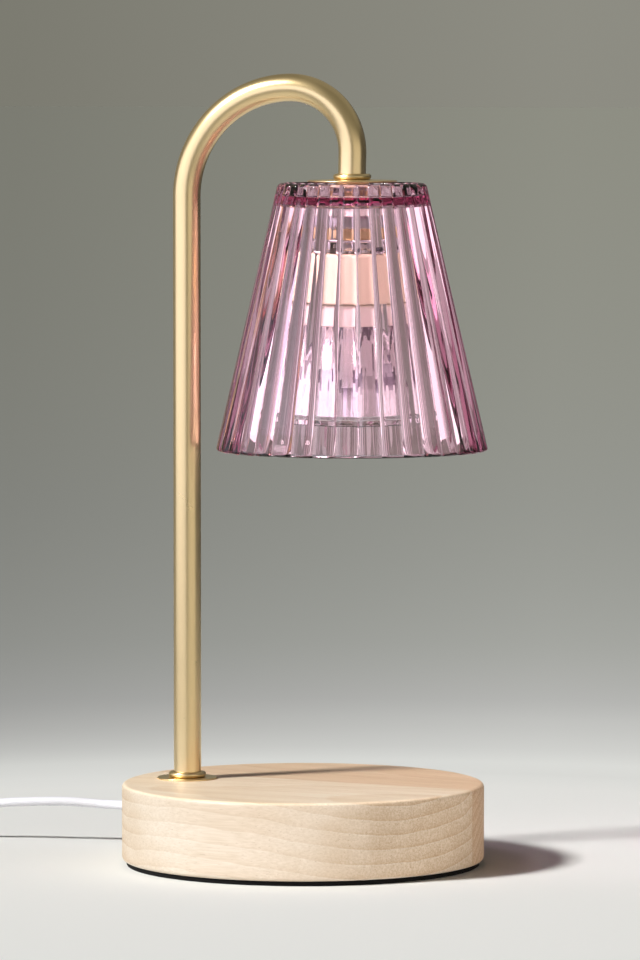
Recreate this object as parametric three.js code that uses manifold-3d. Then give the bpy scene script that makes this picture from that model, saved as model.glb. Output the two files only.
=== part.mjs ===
// Candle warmer lamp: a round wooden base, a bent brass stem, and a fluted glass shade that
// hangs over the candle with a halogen reflector bulb inside it. The mains cord leaves the back
// of the base, passes a rotary dimmer and ends in a two-blade plug.
// Millimetres, +Z up. The origin is the centre of the base's underside. +X points from the
// stem's foot to the shade.
import * as THREE from 'three';
import { mergeVertices } from 'three/addons/utils/BufferGeometryUtils.js';
import Module from 'manifold-3d';

const wasm = await Module();
wasm.setup();

// Fits shared by every piece
const gap = 0.3;
const overrun = 1;
const roundCount = 48;
const mediumRoundCount = 24;
const smallRoundCount = 16;
const boreCount = 10;
const wireCount = 8;
const outlineCurveCount = 6;
const pocketCurveCount = 8;
const smallCurveCount = 4;
const tinyCurveCount = 3;
const tightCurveCount = 2;
const quarter = Math.PI / 2;

// Base: a turned wooden disc on a dark pad, with a routed pocket for the wiring
const baseDiameter = 152.4;
const discThickness = 32.4;
const padThickness = 2;
const padInset = 1.9;
const padChamfer = 0.5;
const baseEdgeRound = 1.5;
const baseEdgeCount = 2;
const pocketWidth = 30;
const pocketRoofThickness = 12.4;
const pocketReach = 44;
const stemInset = 24.8;

// Cord outlet: a moulded strain relief in a hole through the back of the disc
const exitTurn = THREE.MathUtils.degToRad(156);
const exitHeight = 16.8;
const exitBore = 8;
const outletShank = 14;
const outletFlangeDiameter = 11;
const outletFlangeThickness = 2.6;
const outletTaper = 18;
const outletRootDiameter = 7.6;
const cordDiameter = 4;
const reliefTipWall = 0.7;

// Stem: a bent tube with a wide rear bend and a tighter front bend
const tubeDiameter = 11.6;
const tubeWall = 0.8;
const rearBend = 46;
const frontBend = 27;
const crookTop = 326.5;
const headDrop = 11.4;
const tubeSides = 16;
const rearBendCount = 9;
const frontBendCount = 7;
const nippleWall = 1.2;
const nippleGrip = 9;
const nippleStub = 1.5;
const pocketLeadSteps = 14;

// Turned brass trim at the foot and at the head
const flangeDiameter = 25.4;
const flangeThickness = 0.7;
const collarDiameter = 16.2;
const collarHeight = 2.4;
const capDiameter = 37.4;
const capThickness = 1;
const capDish = 0.35;
const capClearance = 0.5;
const capSleeveDiameter = 14;
const beadCount = 3;

// Fasteners
const nutAcrossFlats = 14;
const nutHeight = 4.6;
const thinNutHeight = 3;
const washerDiameter = 22;
const headWasherDiameter = 16;
const washerThickness = 1.2;
const upperGasketDiameter = 17;
const upperGasketThickness = 0.5;
const lowerGasketDiameter = 18;
const lowerGasketThickness = 0.8;
const spacerDiameter = 13;
const spacerLength = 3.5;

// Shade: a straight cone of pressed glass with broad ribs outside and a smooth bore. Its crown
// is a plate at the foot of a shallow well, so the ribs stand up round the brass cap.
const shadeHeight = 111.8;
const shadeTopRadius = 30.95;
const shadeFootRadius = 57;
const ribCount = 36;
const ribDepthTop = 0.9;
const ribDepthFoot = 1.6;
const ribPointCount = 4;
const ribCrestShare = 0.3;
const shadeWall = 4.6;
const wellDepth = 6;
const wellLedge = 0.6;
const wellWall = 5.2;
const wellFillet = 1;
const crownThickness = 3.2;
const crownFillet = 1.5;
const shoulderRound = 1.8;
const shoulderDepthShares = [0.85, 0.4];
const rimRound = 1.3;
const rimDepthShare = 0.55;

// Lampholder: a ceramic body with two keyhole slots, hung from a hat-shaped bracket
const holderDiameter = 30;
const holderHeight = 20.8;
const holderRound = 1.6;
const bracketThickness = 1.2;
const bracketHeight = 5.9;
const bracketWidth = 12;
const bracketCrown = 18;
const bracketSpan = 28.4;
const holderScrewSpacing = 24;
const holderScrewHead = 5;
const holderScrewHeadHeight = 1.6;
const holderScrewShank = 2.6;
const holderScrewDepth = 7;
const slotPlate = 3.5;
const slotClearance = 0.4;
const twistAngle = THREE.MathUtils.degToRad(25);
const contactThickness = 0.8;
const wireDiameter = 1.4;
const wireSpread = 2.6;

// Bulb: a twist-lock halogen reflector lamp
const pinSpacing = 10;
const pinNeckDiameter = 3.2;
const pinHeadDiameter = 5;
const pinHeadHeight = 2.6;
const bulbNeckDiameter = 26;
const bulbNeckLength = 9.1;
const bulbNeckTaper = 0.8;
const bulbFaceDiameter = 50;
const reflectorLength = 36.6;
const reflectorWall = 1.4;
const reflectorThroat = 14;
const frontGlassHeight = 4.2;
const frontGlassThickness = 2.2;
const capsuleDiameter = 9;
const capsuleLength = 22;
const capsuleWall = 0.9;
const filamentDiameter = 0.8;
const filamentSpread = 2.6;
const filamentLength = 15;
const filamentCount = 6;

// Dimmer on the cord: two shells, a knob on a potentiometer, a board and two screws
const dimmerLength = 54;
const dimmerWidth = 24;
const dimmerHeight = 16;
const dimmerCorner = 7;
const dimmerEdgeRound = 2;
const dimmerCavityLength = 32;
const dimmerWall = 2;
const knobDiameter = 19;
const knobHeight = 4.4;
const knobRidgeDepth = 0.5;
const knobRidgeCount = 24;
const knobShaftDiameter = 5;
const potDiameter = 11;
const potHeight = 4.5;
const boardThickness = 1.6;
const dimmerScrewSpacing = 41;
const dimmerScrewHead = 5;
const dimmerScrewHeadHeight = 2;
const dimmerScrewShank = 2.4;
const dimmerScrewReach = 4;
const gripLength = 12;
const gripRootDiameter = 8.4;
const gripRibCount = 3;
const gripRibDepth = 0.5;

// Plug: a moulded body, two flat blades and a tapered relief
const plugLength = 32;
const plugWidth = 25;
const plugTailWidth = 14;
const plugHeight = 15;
const plugRound = 2.4;
const plugWaistShare = 0.45;
const bladeLength = 16;
const bladeThickness = 1.5;
const narrowBladeWidth = 6.35;
const wideBladeWidth = 7.9;
const bladeSpacing = 12.7;
const bladeSeat = 6;
const plugReliefLength = 22;
const plugReliefRoot = 9;

// Coil of spare cord
const coilInnerRadius = 18;
const coilPitch = 4.48;
const coilLift = 1.4;
const coilLayerCount = 4;
const coilTurnsPerLayer = 2.5625;
const coilLoopSteps = 24;
const coilSides = 6;
const cordSides = 8;
const hiddenLeadSides = 6;
const routeSampleCount = 200;
const tieWidth = 5;
const tieThickness = 0.9;

// Cord routes, as points chosen by hand along the real lay of the cord
const leadRoute = [
  [-93.5, 41.6, 16.8], [-98.2, 43.2, 16.7], [-103.5, 44.1, 16.6], [-110, 44.0, 16.9],
  [-117, 43.2, 17.3], [-124, 42.4, 17.4], [-132, 41.6, 17.2], [-140, 40.9, 16.8],
  [-148.6, 40.2, 16.2], [-156, 39.8, 14.9], [-163, 39.5, 12.7], [-170, 39.3, 9.6],
  [-177, 39.1, 6.3], [-184, 38.9, 3.7], [-190, 38.8, 2.5], [-196, 38.7, 2.4],
  [-202, 38.6, 3.6], [-207.5, 38.5, 5.7], [-212, 38.5, 7.5], [-216, 38.5, 8], [-220, 38.5, 8],
];
const linkRoute = [
  [-306, 38.5, 8], [-311, 38, 7.6], [-317, 36, 6.7], [-323, 31.6, 5.5], [-327, 25.6, 4.4],
  [-329, 19, 3.6], [-329.5, 11, 3.4], [-329.5, 3, 3.4], [-329.5, -6, 3.4],
];
const tailRoute = [
  [-291.5, -39.8, 16.8], [-286.5, -39.8, 16.4], [-281, -39.8, 15.2], [-275, -39.8, 13.2],
  [-268.5, -39.8, 10.6], [-262.5, -39.8, 8.5], [-258, -39.8, 7.6], [-254, -39.8, 7.5],
];

// Heights and radii worked out from the sizes above
const baseRadius = baseDiameter / 2;
const stemOffset = baseRadius - stemInset;
const baseTop = padThickness + discThickness;
const pocketRoof = baseTop - pocketRoofThickness;
const tubeRadius = tubeDiameter / 2;
const tubeBoreRadius = tubeRadius - tubeWall;
const nippleRadius = tubeBoreRadius - gap;
const nippleBoreRadius = nippleRadius - nippleWall;
const cordRadius = cordDiameter / 2;
const stemFoot = baseTop + flangeThickness;
const headX = rearBend + frontBend - stemOffset;
const rearCentreZ = crookTop - rearBend;
const frontCentreZ = crookTop - frontBend;
const capTop = frontCentreZ - headDrop;
const capFoot = capTop - capThickness;
const shadeTop = capFoot - capClearance;
const shadeFoot = shadeTop - shadeHeight;
const wellFloor = shadeTop - wellDepth;
const capSleeveFoot = wellFloor + upperGasketThickness;
const crownUnderside = wellFloor - crownThickness;
const lowerGasketFoot = crownUnderside - lowerGasketThickness;
const shadeWasherFoot = lowerGasketFoot - washerThickness;
const spacerFoot = shadeWasherFoot - spacerLength;
const shadeNutFoot = spacerFoot - nutHeight;
const lockNutFoot = shadeNutFoot - nutHeight;
const bracketUnderside = lockNutFoot - bracketThickness;
const bracketNutFoot = bracketUnderside - thinNutHeight;
const headNippleFoot = bracketNutFoot - gap;
const holderTop = lockNutFoot - bracketHeight;
const holderFoot = holderTop - holderHeight;
const bulbTop = holderFoot - gap;
const bulbNeckFoot = bulbTop - bulbNeckLength;
const reflectorFoot = bulbNeckFoot - reflectorLength;
const bulbFace = reflectorFoot - frontGlassHeight;
const pinHeadFoot = holderFoot + slotPlate + gap;
const pinHeadTop = pinHeadFoot + pinHeadHeight;
const slotRoof = pinHeadTop + gap + contactThickness;
const footWasherFoot = pocketRoof - washerThickness;
const footNutFoot = footWasherFoot - nutHeight;
const footNippleFoot = footNutFoot - nippleStub;

// Materials
function finish(color, roughness, metalness) {
  return new THREE.MeshStandardMaterial({ color, roughness, metalness });
}

const wood = finish('#e6c69c', 0.6, 0);
const pad = finish('#1d1b1a', 0.9, 0);
const brass = finish('#c9a45c', 0.32, 1);
const steel = finish('#b9bcc0', 0.35, 1);
const glass = finish('#d9a5b4', 0.05, 0);
glass.transparent = true;
glass.opacity = 0.45;
const clearGlass = finish('#eef1f2', 0.05, 0);
clearGlass.transparent = true;
clearGlass.opacity = 0.4;
const silvered = finish('#d8dadc', 0.12, 0.9);
const ceramic = finish('#efdcc2', 0.7, 0);
const silicone = finish('#e9e6e0', 0.6, 0);
const nylon = finish('#eceae4', 0.5, 0);
const plastic = finish('#f2f1ee', 0.45, 0);
const vinyl = finish('#eeedf2', 0.5, 0);
const boardGreen = finish('#2f5d3a', 0.6, 0);
const tungsten = finish('#6d6a66', 0.5, 0.8);

// Shared builders
function weld(geometry) {
  const bare = geometry.index ? geometry : geometry.clone();
  bare.deleteAttribute('normal');
  bare.deleteAttribute('uv');
  return mergeVertices(bare);
}

function volumeOf(geometry) {
  const place = geometry.attributes.position;
  const corners = geometry.index.array;
  const a = new THREE.Vector3();
  const b = new THREE.Vector3();
  const c = new THREE.Vector3();
  let total = 0;
  for (let i = 0; i < corners.length; i += 3) {
    a.fromBufferAttribute(place, corners[i]);
    b.fromBufferAttribute(place, corners[i + 1]);
    c.fromBufferAttribute(place, corners[i + 2]);
    total += a.dot(b.cross(c)) / 6;
  }
  return total;
}

// A profile may be listed either way round: this turns the faces outwards.
function outward(geometry) {
  const welded = weld(geometry);
  if (volumeOf(welded) < 0) {
    const corners = welded.index.array;
    for (let i = 0; i < corners.length; i += 3) {
      const first = corners[i];
      corners[i] = corners[i + 1];
      corners[i + 1] = first;
    }
  }
  return welded;
}

function solid(geometry) {
  const closed = outward(geometry);
  return new wasm.Manifold(new wasm.Mesh({
    numProp: 3,
    vertProperties: new Float32Array(closed.attributes.position.array),
    triVerts: new Uint32Array(closed.index.array),
  }));
}

function shapeOf(body) {
  const { vertProperties, triVerts, numProp } = body.getMesh();
  const corners = new Float32Array(vertProperties.length / numProp * 3);
  for (let i = 0; i < vertProperties.length / numProp; i += 1) {
    corners.set(vertProperties.subarray(i * numProp, i * numProp + 3), i * 3);
  }
  const geometry = new THREE.BufferGeometry();
  geometry.setAttribute('position', new THREE.BufferAttribute(corners, 3));
  geometry.setIndex(new THREE.BufferAttribute(new Uint32Array(triVerts), 1));
  return geometry;
}

function cut(geometry, ...cutters) {
  return shapeOf(cutters.reduce((body, cutter) => body.subtract(solid(cutter)), solid(geometry)));
}

function join(geometry, ...others) {
  return shapeOf(others.reduce((body, other) => body.add(solid(other)), solid(geometry)));
}

// Turns a list of [radius, height] pairs about the Z axis.
function turned(profile, count = roundCount) {
  const points = profile.map(([radius, height]) => new THREE.Vector2(radius, height));
  return outward(new THREE.LatheGeometry(points, count).rotateX(quarter));
}

function disc(radius, foot, top, count = roundCount) {
  return turned([[0, foot], [radius, foot], [radius, top], [0, top]], count);
}

function ring(outer, inner, foot, top, count = roundCount) {
  return turned([[inner, foot], [outer, foot], [outer, top], [inner, top], [inner, foot]], count);
}

// Points of a quarter circle between two angles, for a profile's rounded corner.
function arcPoints(centreRadius, centreHeight, radius, from, to, count) {
  const points = [];
  for (let i = 0; i <= count; i += 1) {
    const turn = from + (to - from) * i / count;
    const reach = centreRadius + radius * Math.cos(turn);
    points.push([reach, centreHeight + radius * Math.sin(turn)]);
  }
  return points;
}

function prism(shape, foot, top, curveSegments = outlineCurveCount) {
  const options = { depth: top - foot, bevelEnabled: false, curveSegments };
  return new THREE.ExtrudeGeometry(shape, options).translate(0, 0, foot);
}

function circleShape(radius, x = 0, y = 0) {
  const shape = new THREE.Shape();
  shape.absarc(x, y, radius, 0, 2 * Math.PI, false);
  return shape;
}

function hexNut(foot, top, boreRadius) {
  const shape = new THREE.Shape();
  const corner = nutAcrossFlats / 2 / Math.cos(Math.PI / 6);
  for (let i = 0; i < 6; i += 1) {
    const turn = Math.PI / 6 + i * Math.PI / 3;
    const x = corner * Math.cos(turn);
    const y = corner * Math.sin(turn);
    if (i === 0) shape.moveTo(x, y);
    else shape.lineTo(x, y);
  }
  shape.holes.push(circleShape(boreRadius));
  return outward(prism(shape, foot, top, smallRoundCount / 2));
}

function roundedRectangle(length, width, corner) {
  const shape = new THREE.Shape();
  const x = length / 2 - corner;
  const y = width / 2 - corner;
  shape.absarc(x, y, corner, 0, quarter, false);
  shape.absarc(-x, y, corner, quarter, 2 * quarter, false);
  shape.absarc(-x, -y, corner, 2 * quarter, 3 * quarter, false);
  shape.absarc(x, -y, corner, 3 * quarter, 4 * quarter, false);
  return shape;
}

// An arc-shaped slot with round ends, centred on the Z axis.
function arcSlot(radius, half, from, to) {
  const shape = new THREE.Shape();
  shape.absarc(0, 0, radius + half, from, to, false);
  shape.absarc(radius * Math.cos(to), radius * Math.sin(to), half, to, to + Math.PI, false);
  shape.absarc(0, 0, radius - half, to, from, true);
  const back = from + Math.PI;
  shape.absarc(radius * Math.cos(from), radius * Math.sin(from), half, back, back + Math.PI, false);
  return shape;
}

const stepTolerance = 1e-9;

// A path whose steps fall on chosen stations, so straight runs take one step.
class StationPath extends THREE.Curve {
  constructor(stations) {
    super();
    this.stations = stations;
  }

  getPoint(t, target = new THREE.Vector3()) {
    const along = t * (this.stations.length - 1);
    const index = Math.min(Math.floor(along + stepTolerance), this.stations.length - 2);
    return target.lerpVectors(this.stations[index], this.stations[index + 1], along - index);
  }

  getPointAt(t, target) {
    return this.getPoint(t, target);
  }

  getTangentAt(t, target = new THREE.Vector3()) {
    const last = this.stations.length - 1;
    const index = Math.round(t * last);
    const before = this.stations[Math.max(index - 1, 0)];
    const here = this.stations[index];
    const after = this.stations[Math.min(index + 1, last)];
    const arriving = here.clone().sub(before).normalize();
    const leaving = after.clone().sub(here).normalize();
    return target.copy(arriving).add(leaving).normalize();
  }
}

function polygon(radius, sides) {
  const shape = new THREE.Shape();
  for (let i = 0; i < sides; i += 1) {
    const turn = (i + 0.5) * 2 * Math.PI / sides;
    if (i === 0) shape.moveTo(radius * Math.cos(turn), radius * Math.sin(turn));
    else shape.lineTo(radius * Math.cos(turn), radius * Math.sin(turn));
  }
  return shape;
}

function tubeAlong(stations, radius, sides, boreRadius = 0) {
  const section = polygon(radius, sides);
  if (boreRadius > 0) section.holes.push(polygon(boreRadius, sides));
  const extrudePath = new StationPath(stations);
  const steps = stations.length - 1;
  return outward(new THREE.ExtrudeGeometry(section, { steps, extrudePath }));
}

function vectors(points) {
  return points.map(([x, y, z]) => new THREE.Vector3(x, y, z));
}

const lamp = new THREE.Group();

function place(name, geometry, material, parent = lamp) {
  const mesh = new THREE.Mesh(geometry, material);
  mesh.name = name;
  geometry.computeVertexNormals();
  parent.add(mesh);
  return mesh;
}

// Base
const exitWay = new THREE.Vector3(Math.cos(exitTurn), Math.sin(exitTurn), 0);
const stemAxis = new THREE.Vector3(-stemOffset, 0, 0);
const pocketEnd = exitWay.clone().multiplyScalar(pocketReach);

// Lays a piece that was turned about Z along the cord outlet, with Z as distance from the centre.
function alongExit(geometry) {
  geometry.rotateY(quarter);
  geometry.rotateZ(exitTurn);
  return geometry.translate(0, 0, exitHeight);
}

function pocketShape() {
  const way = pocketEnd.clone().sub(stemAxis);
  const turn = Math.atan2(way.y, way.x);
  const half = pocketWidth / 2;
  const shape = new THREE.Shape();
  shape.absarc(pocketEnd.x, pocketEnd.y, half, turn - quarter, turn + quarter, false);
  shape.absarc(stemAxis.x, stemAxis.y, half, turn + quarter, turn + 3 * quarter, false);
  return shape;
}

function baseDisc() {
  const lower = padThickness + baseEdgeRound;
  const upper = baseTop - baseEdgeRound;
  const inner = baseRadius - baseEdgeRound;
  const blank = turned([
    [0, padThickness],
    ...arcPoints(inner, lower, baseEdgeRound, -quarter, 0, baseEdgeCount),
    ...arcPoints(inner, upper, baseEdgeRound, 0, quarter, baseEdgeCount),
    [0, baseTop],
  ]);
  const pocket = prism(pocketShape(), padThickness - overrun, pocketRoof, pocketCurveCount);
  const stemHole = disc(nippleRadius + gap, padThickness, baseTop + overrun, smallRoundCount);
  stemHole.translate(-stemOffset, 0, 0);
  const cordHole = alongExit(disc(exitBore / 2, pocketReach, baseRadius + overrun, boreCount));
  return cut(blank, pocket, stemHole, cordHole);
}

function basePad() {
  const radius = baseRadius - padInset;
  return turned([
    [0, 0], [radius - padChamfer, 0], [radius, padChamfer], [radius, padThickness], [0, padThickness],
  ]);
}

const outletFoot = baseRadius - outletShank;
const outletFlangeFoot = baseRadius + gap;
const outletTaperFoot = outletFlangeFoot + outletFlangeThickness;
const outletTip = outletTaperFoot + outletTaper;

function cordOutlet() {
  const shank = exitBore / 2 - gap;
  const tip = cordRadius + reliefTipWall;
  const profile = [
    [0, outletFoot], [shank, outletFoot], [shank, outletFlangeFoot],
    [outletFlangeDiameter / 2, outletFlangeFoot], [outletFlangeDiameter / 2, outletTaperFoot],
    [outletRootDiameter / 2, outletTaperFoot], [tip, outletTip], [0, outletTip],
  ];
  return alongExit(turned(profile, smallRoundCount));
}

// The bead collars round the tube's two ends are turned with a rounded edge.
function collar(foot) {
  const inner = tubeRadius + gap;
  const bead = collarHeight / 2;
  const reach = collarDiameter / 2 - bead;
  return turned([
    [inner, foot], [reach, foot],
    ...arcPoints(reach, foot + bead, bead, -quarter, quarter, beadCount).slice(1, -1),
    [reach, foot + collarHeight], [inner, foot + collarHeight], [inner, foot],
  ], mediumRoundCount);
}

place('base_disc', baseDisc(), wood);
place('base_pad', basePad(), pad);
place('cord_outlet', cordOutlet(), plastic);

const foot = new THREE.Group();
foot.position.set(-stemOffset, 0, 0);
lamp.add(foot);
const flangeRadius = flangeDiameter / 2;
place('foot_flange', ring(flangeRadius, nippleRadius + gap, baseTop, stemFoot, mediumRoundCount),
  brass, foot);
place('foot_collar', collar(stemFoot), brass, foot);
const footNippleTop = stemFoot + nippleGrip;
place('foot_nipple', ring(nippleRadius, nippleBoreRadius, footNippleFoot, footNippleTop,
  smallRoundCount), brass, foot);
place('foot_washer', ring(washerDiameter / 2, nippleRadius + gap, footWasherFoot, pocketRoof,
  smallRoundCount), steel, foot);
place('foot_nut', hexNut(footNutFoot, footWasherFoot, nippleRadius + gap), steel, foot);

// Stem
function crookStations(bottom, end) {
  const stations = [new THREE.Vector3(-stemOffset, 0, bottom)];
  const centreX = rearBend - stemOffset;
  for (let i = 0; i <= rearBendCount; i += 1) {
    const turn = quarter * i / rearBendCount;
    const x = centreX - rearBend * Math.cos(turn);
    stations.push(new THREE.Vector3(x, 0, rearCentreZ + rearBend * Math.sin(turn)));
  }
  for (let i = 1; i <= frontBendCount; i += 1) {
    const turn = quarter * (1 - i / frontBendCount);
    const x = centreX + frontBend * Math.cos(turn);
    stations.push(new THREE.Vector3(x, 0, frontCentreZ + frontBend * Math.sin(turn)));
  }
  stations.push(new THREE.Vector3(headX, 0, end));
  return stations;
}

// The inner lead crosses the wiring pocket, dips under the nut and climbs through the stem.
const leadDip = padThickness + cordRadius + overrun * 2;
const leadEntryShare = 0.85;

// How far the lead has come from the pocket's end to the stem, and how much of its rise is left
const pocketLeadShares = [[0.12, 0.6], [0.4, 0.25], [0.7, 0], [0.93, 0.22]];

function innerLead() {
  const start = outletFoot - gap;
  const heightAt = (share) => leadDip + (exitHeight - leadDip) * share;
  const alongOutlet = (reach, height) => exitWay.clone().multiplyScalar(reach).setZ(height);
  const pocketPart = new THREE.CatmullRomCurve3([
    alongOutlet(start, exitHeight),
    alongOutlet(start - cordDiameter, exitHeight),
    alongOutlet((start + pocketReach) / 2, heightAt(leadEntryShare)),
    ...pocketLeadShares.map(([along, left]) => (
      pocketEnd.clone().lerp(stemAxis, along).setZ(heightAt(left)))),
    stemAxis.clone().setZ(footNippleFoot),
  ]);
  const stations = [
    ...pocketPart.getSpacedPoints(pocketLeadSteps),
    ...crookStations(footNippleFoot + overrun, headNippleFoot),
  ];
  return tubeAlong(stations, cordRadius, hiddenLeadSides);
}

place('stem_tube', tubeAlong(crookStations(stemFoot, capTop), tubeRadius, tubeSides,
  tubeBoreRadius), brass);
place('inner_lead', innerLead(), vinyl);

// Head: everything on the shade's axis
const head = new THREE.Group();
head.position.set(headX, 0, 0);
lamp.add(head);

function capDisc() {
  const inner = nippleRadius + gap;
  const flat = collarDiameter / 2 + overrun;
  const reach = capDiameter / 2;
  return turned([
    [inner, capFoot], [reach, capFoot], [reach, capTop - capDish], [flat, capTop],
    [inner, capTop], [inner, capFoot],
  ], mediumRoundCount);
}

const seatRadius = nippleRadius + gap;
place('head_collar', collar(capTop), brass, head);
place('cap_disc', capDisc(), brass, head);
place('cap_sleeve', ring(capSleeveDiameter / 2, seatRadius, capSleeveFoot, capFoot,
  mediumRoundCount), brass, head);
place('head_nipple', ring(nippleRadius, nippleBoreRadius, headNippleFoot, capTop + nippleGrip,
  smallRoundCount), brass, head);
place('upper_gasket', ring(upperGasketDiameter / 2, seatRadius, wellFloor, capSleeveFoot,
  smallRoundCount), silicone, head);
place('lower_gasket', ring(lowerGasketDiameter / 2, seatRadius, lowerGasketFoot, crownUnderside,
  smallRoundCount), silicone, head);
place('shade_washer', ring(headWasherDiameter / 2, seatRadius, shadeWasherFoot, lowerGasketFoot,
  smallRoundCount), steel, head);
place('shade_spacer', ring(spacerDiameter / 2, seatRadius, spacerFoot, shadeWasherFoot,
  smallRoundCount), nylon, head);
place('shade_nut', hexNut(shadeNutFoot, spacerFoot, seatRadius), steel, head);
place('lock_nut', hexNut(lockNutFoot, shadeNutFoot, seatRadius), brass, head);
place('bracket_nut', hexNut(bracketNutFoot, bracketUnderside, seatRadius), steel, head);

// Shade. Each ring of the loft follows the ribs outside, or a plain circle inside.
// A rib has a flat crest and a rounded flank on each side, down to the groove.
function ribShare(point) {
  const across = Math.abs(2 * point / ribPointCount - 1);
  const flank = Math.max(0, (across - ribCrestShare) / (1 - ribCrestShare));
  return flank ** 2;
}

const ribShares = Array.from({ length: ribPointCount }, (_, point) => ribShare(point));

function crestRadius(height) {
  const share = (shadeTop - height) / shadeHeight;
  return shadeTopRadius + (shadeFootRadius - shadeTopRadius) * share;
}

function ribDepth(height) {
  const share = (shadeTop - height) / shadeHeight;
  return ribDepthTop + (ribDepthFoot - ribDepthTop) * share;
}

function shadeRings() {
  const fluted = (height, inset, depthShare) => ({
    height, radius: crestRadius(height) - inset, depth: ribDepth(height) * depthShare,
  });
  const plain = (height, radius) => ({ height, radius, depth: 0 });
  const bore = (height) => crestRadius(height) - shadeWall;
  const filletFoot = crownUnderside - crownFillet;
  const diagonal = Math.SQRT1_2;
  const corner = bore(filletFoot) - crownFillet;
  const shoulderMiddle = shoulderRound * (1 - diagonal);
  const wellRadius = crestRadius(wellFloor) - wellWall;
  return [
    fluted(shadeFoot, rimRound, rimDepthShare),
    fluted(shadeFoot + rimRound, 0, 1),
    fluted(shadeTop - shoulderRound, 0, 1),
    fluted(shadeTop - shoulderMiddle, shoulderMiddle, shoulderDepthShares[0]),
    fluted(shadeTop, shoulderRound, shoulderDepthShares[1]),
    plain(shadeTop, shadeTopRadius - shoulderRound - wellLedge),
    plain(wellFloor + wellFillet, wellRadius),
    plain(wellFloor, wellRadius - wellFillet),
    plain(wellFloor, seatRadius),
    plain(crownUnderside, seatRadius),
    plain(crownUnderside, corner),
    plain(crownUnderside - crownFillet * (1 - diagonal), corner + crownFillet * diagonal),
    plain(filletFoot, corner + crownFillet),
    plain(shadeFoot, bore(shadeFoot)),
  ];
}

function glassShade() {
  const rings = shadeRings();
  const around = ribCount * ribShares.length;
  const corners = [];
  const faces = [];
  rings.forEach(({ height, radius, depth }) => {
    for (let i = 0; i < around; i += 1) {
      const turn = i * 2 * Math.PI / around;
      const reach = radius - depth * ribShares[i % ribShares.length];
      corners.push(reach * Math.cos(turn), reach * Math.sin(turn), height);
    }
  });
  rings.forEach((_, row) => {
    const nextRow = (row + 1) % rings.length;
    for (let i = 0; i < around; i += 1) {
      const next = (i + 1) % around;
      const a = row * around + i;
      const b = row * around + next;
      const c = nextRow * around + next;
      const d = nextRow * around + i;
      faces.push(a, b, c, a, c, d);
    }
  });
  const geometry = new THREE.BufferGeometry();
  geometry.setAttribute('position', new THREE.Float32BufferAttribute(corners, 3));
  geometry.setIndex(faces);
  return outward(geometry);
}

place('glass_shade', glassShade(), glass, head);

// Lampholder and its bracket
const screwX = holderScrewSpacing / 2;

function holderBracket() {
  const crown = bracketCrown / 2;
  const span = bracketSpan / 2;
  const inner = crown - bracketThickness;
  const footTop = holderTop + bracketThickness;
  const outline = [
    [-span, holderTop], [-inner, holderTop], [-inner, bracketUnderside], [inner, bracketUnderside],
    [inner, holderTop], [span, holderTop], [span, footTop], [crown, footTop], [crown, lockNutFoot],
    [-crown, lockNutFoot], [-crown, footTop], [-span, footTop],
  ];
  const shape = new THREE.Shape(outline.map(([x, z]) => new THREE.Vector2(x, z)));
  const strap = prism(shape, -bracketWidth / 2, bracketWidth / 2).rotateX(quarter);
  const nippleHole = disc(seatRadius, bracketUnderside - overrun, lockNutFoot + overrun,
    smallRoundCount);
  const screwHoles = [-screwX, screwX].map((x) => disc(holderScrewShank / 2 + gap,
    holderTop - overrun, footTop + overrun, boreCount).translate(x, 0, 0));
  return cut(strap, nippleHole, ...screwHoles);
}

function bracketScrew(x) {
  const seat = holderTop + bracketThickness;
  return turned([
    [0, holderTop - holderScrewDepth], [holderScrewShank / 2, holderTop - holderScrewDepth],
    [holderScrewShank / 2, seat], [holderScrewHead / 2, seat],
    [holderScrewHead / 2, seat + holderScrewHeadHeight], [0, seat + holderScrewHeadHeight],
  ], boreCount).translate(x, 0, 0);
}

const pinRadius = pinSpacing / 2;
const sides = [0, Math.PI];

function lampholder() {
  const radius = holderDiameter / 2;
  const blank = turned([
    [0, holderFoot], [radius - holderRound / 2, holderFoot], [radius, holderFoot + holderRound / 2],
    ...arcPoints(radius - holderRound, holderTop - holderRound, holderRound, 0, quarter,
      tightCurveCount),
    [0, holderTop],
  ], mediumRoundCount);
  const neckHalf = pinNeckDiameter / 2 + slotClearance;
  const headHalf = pinHeadDiameter / 2 + slotClearance;
  const plateTop = holderFoot + slotPlate;
  const cutters = sides.flatMap((side) => {
    const entry = side - twistAngle;
    const slot = prism(arcSlot(pinRadius, neckHalf, entry, side), holderFoot - overrun,
      plateTop + overrun, smallCurveCount);
    const entryX = pinRadius * Math.cos(entry);
    const entryY = pinRadius * Math.sin(entry);
    const hole = disc(headHalf, holderFoot - overrun, plateTop + overrun, boreCount);
    hole.translate(entryX, entryY, 0);
    const pocket = prism(arcSlot(pinRadius, headHalf, entry, side), plateTop, slotRoof,
      smallCurveCount);
    const wireWay = disc(wireDiameter / 2 + gap, slotRoof - overrun, holderTop + overrun, boreCount);
    wireWay.translate(wireSpread * Math.cos(side), wireSpread * Math.sin(side), 0);
    const screwWay = disc(holderScrewShank / 2 + gap, holderTop - holderScrewDepth - gap,
      holderTop + overrun, boreCount).translate(screwX * Math.cos(side), 0, 0);
    return [slot, hole, pocket, wireWay, screwWay];
  });
  return cut(blank, ...cutters);
}

function contact(side) {
  const half = pinHeadDiameter / 2;
  const shape = arcSlot(pinRadius, half, side - twistAngle, side);
  return outward(prism(shape, slotRoof - contactThickness, slotRoof, tinyCurveCount));
}

function holderWire(side) {
  const wire = disc(wireDiameter / 2, slotRoof + gap, headNippleFoot - gap, wireCount);
  return wire.translate(wireSpread * Math.cos(side), wireSpread * Math.sin(side), 0);
}

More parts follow.
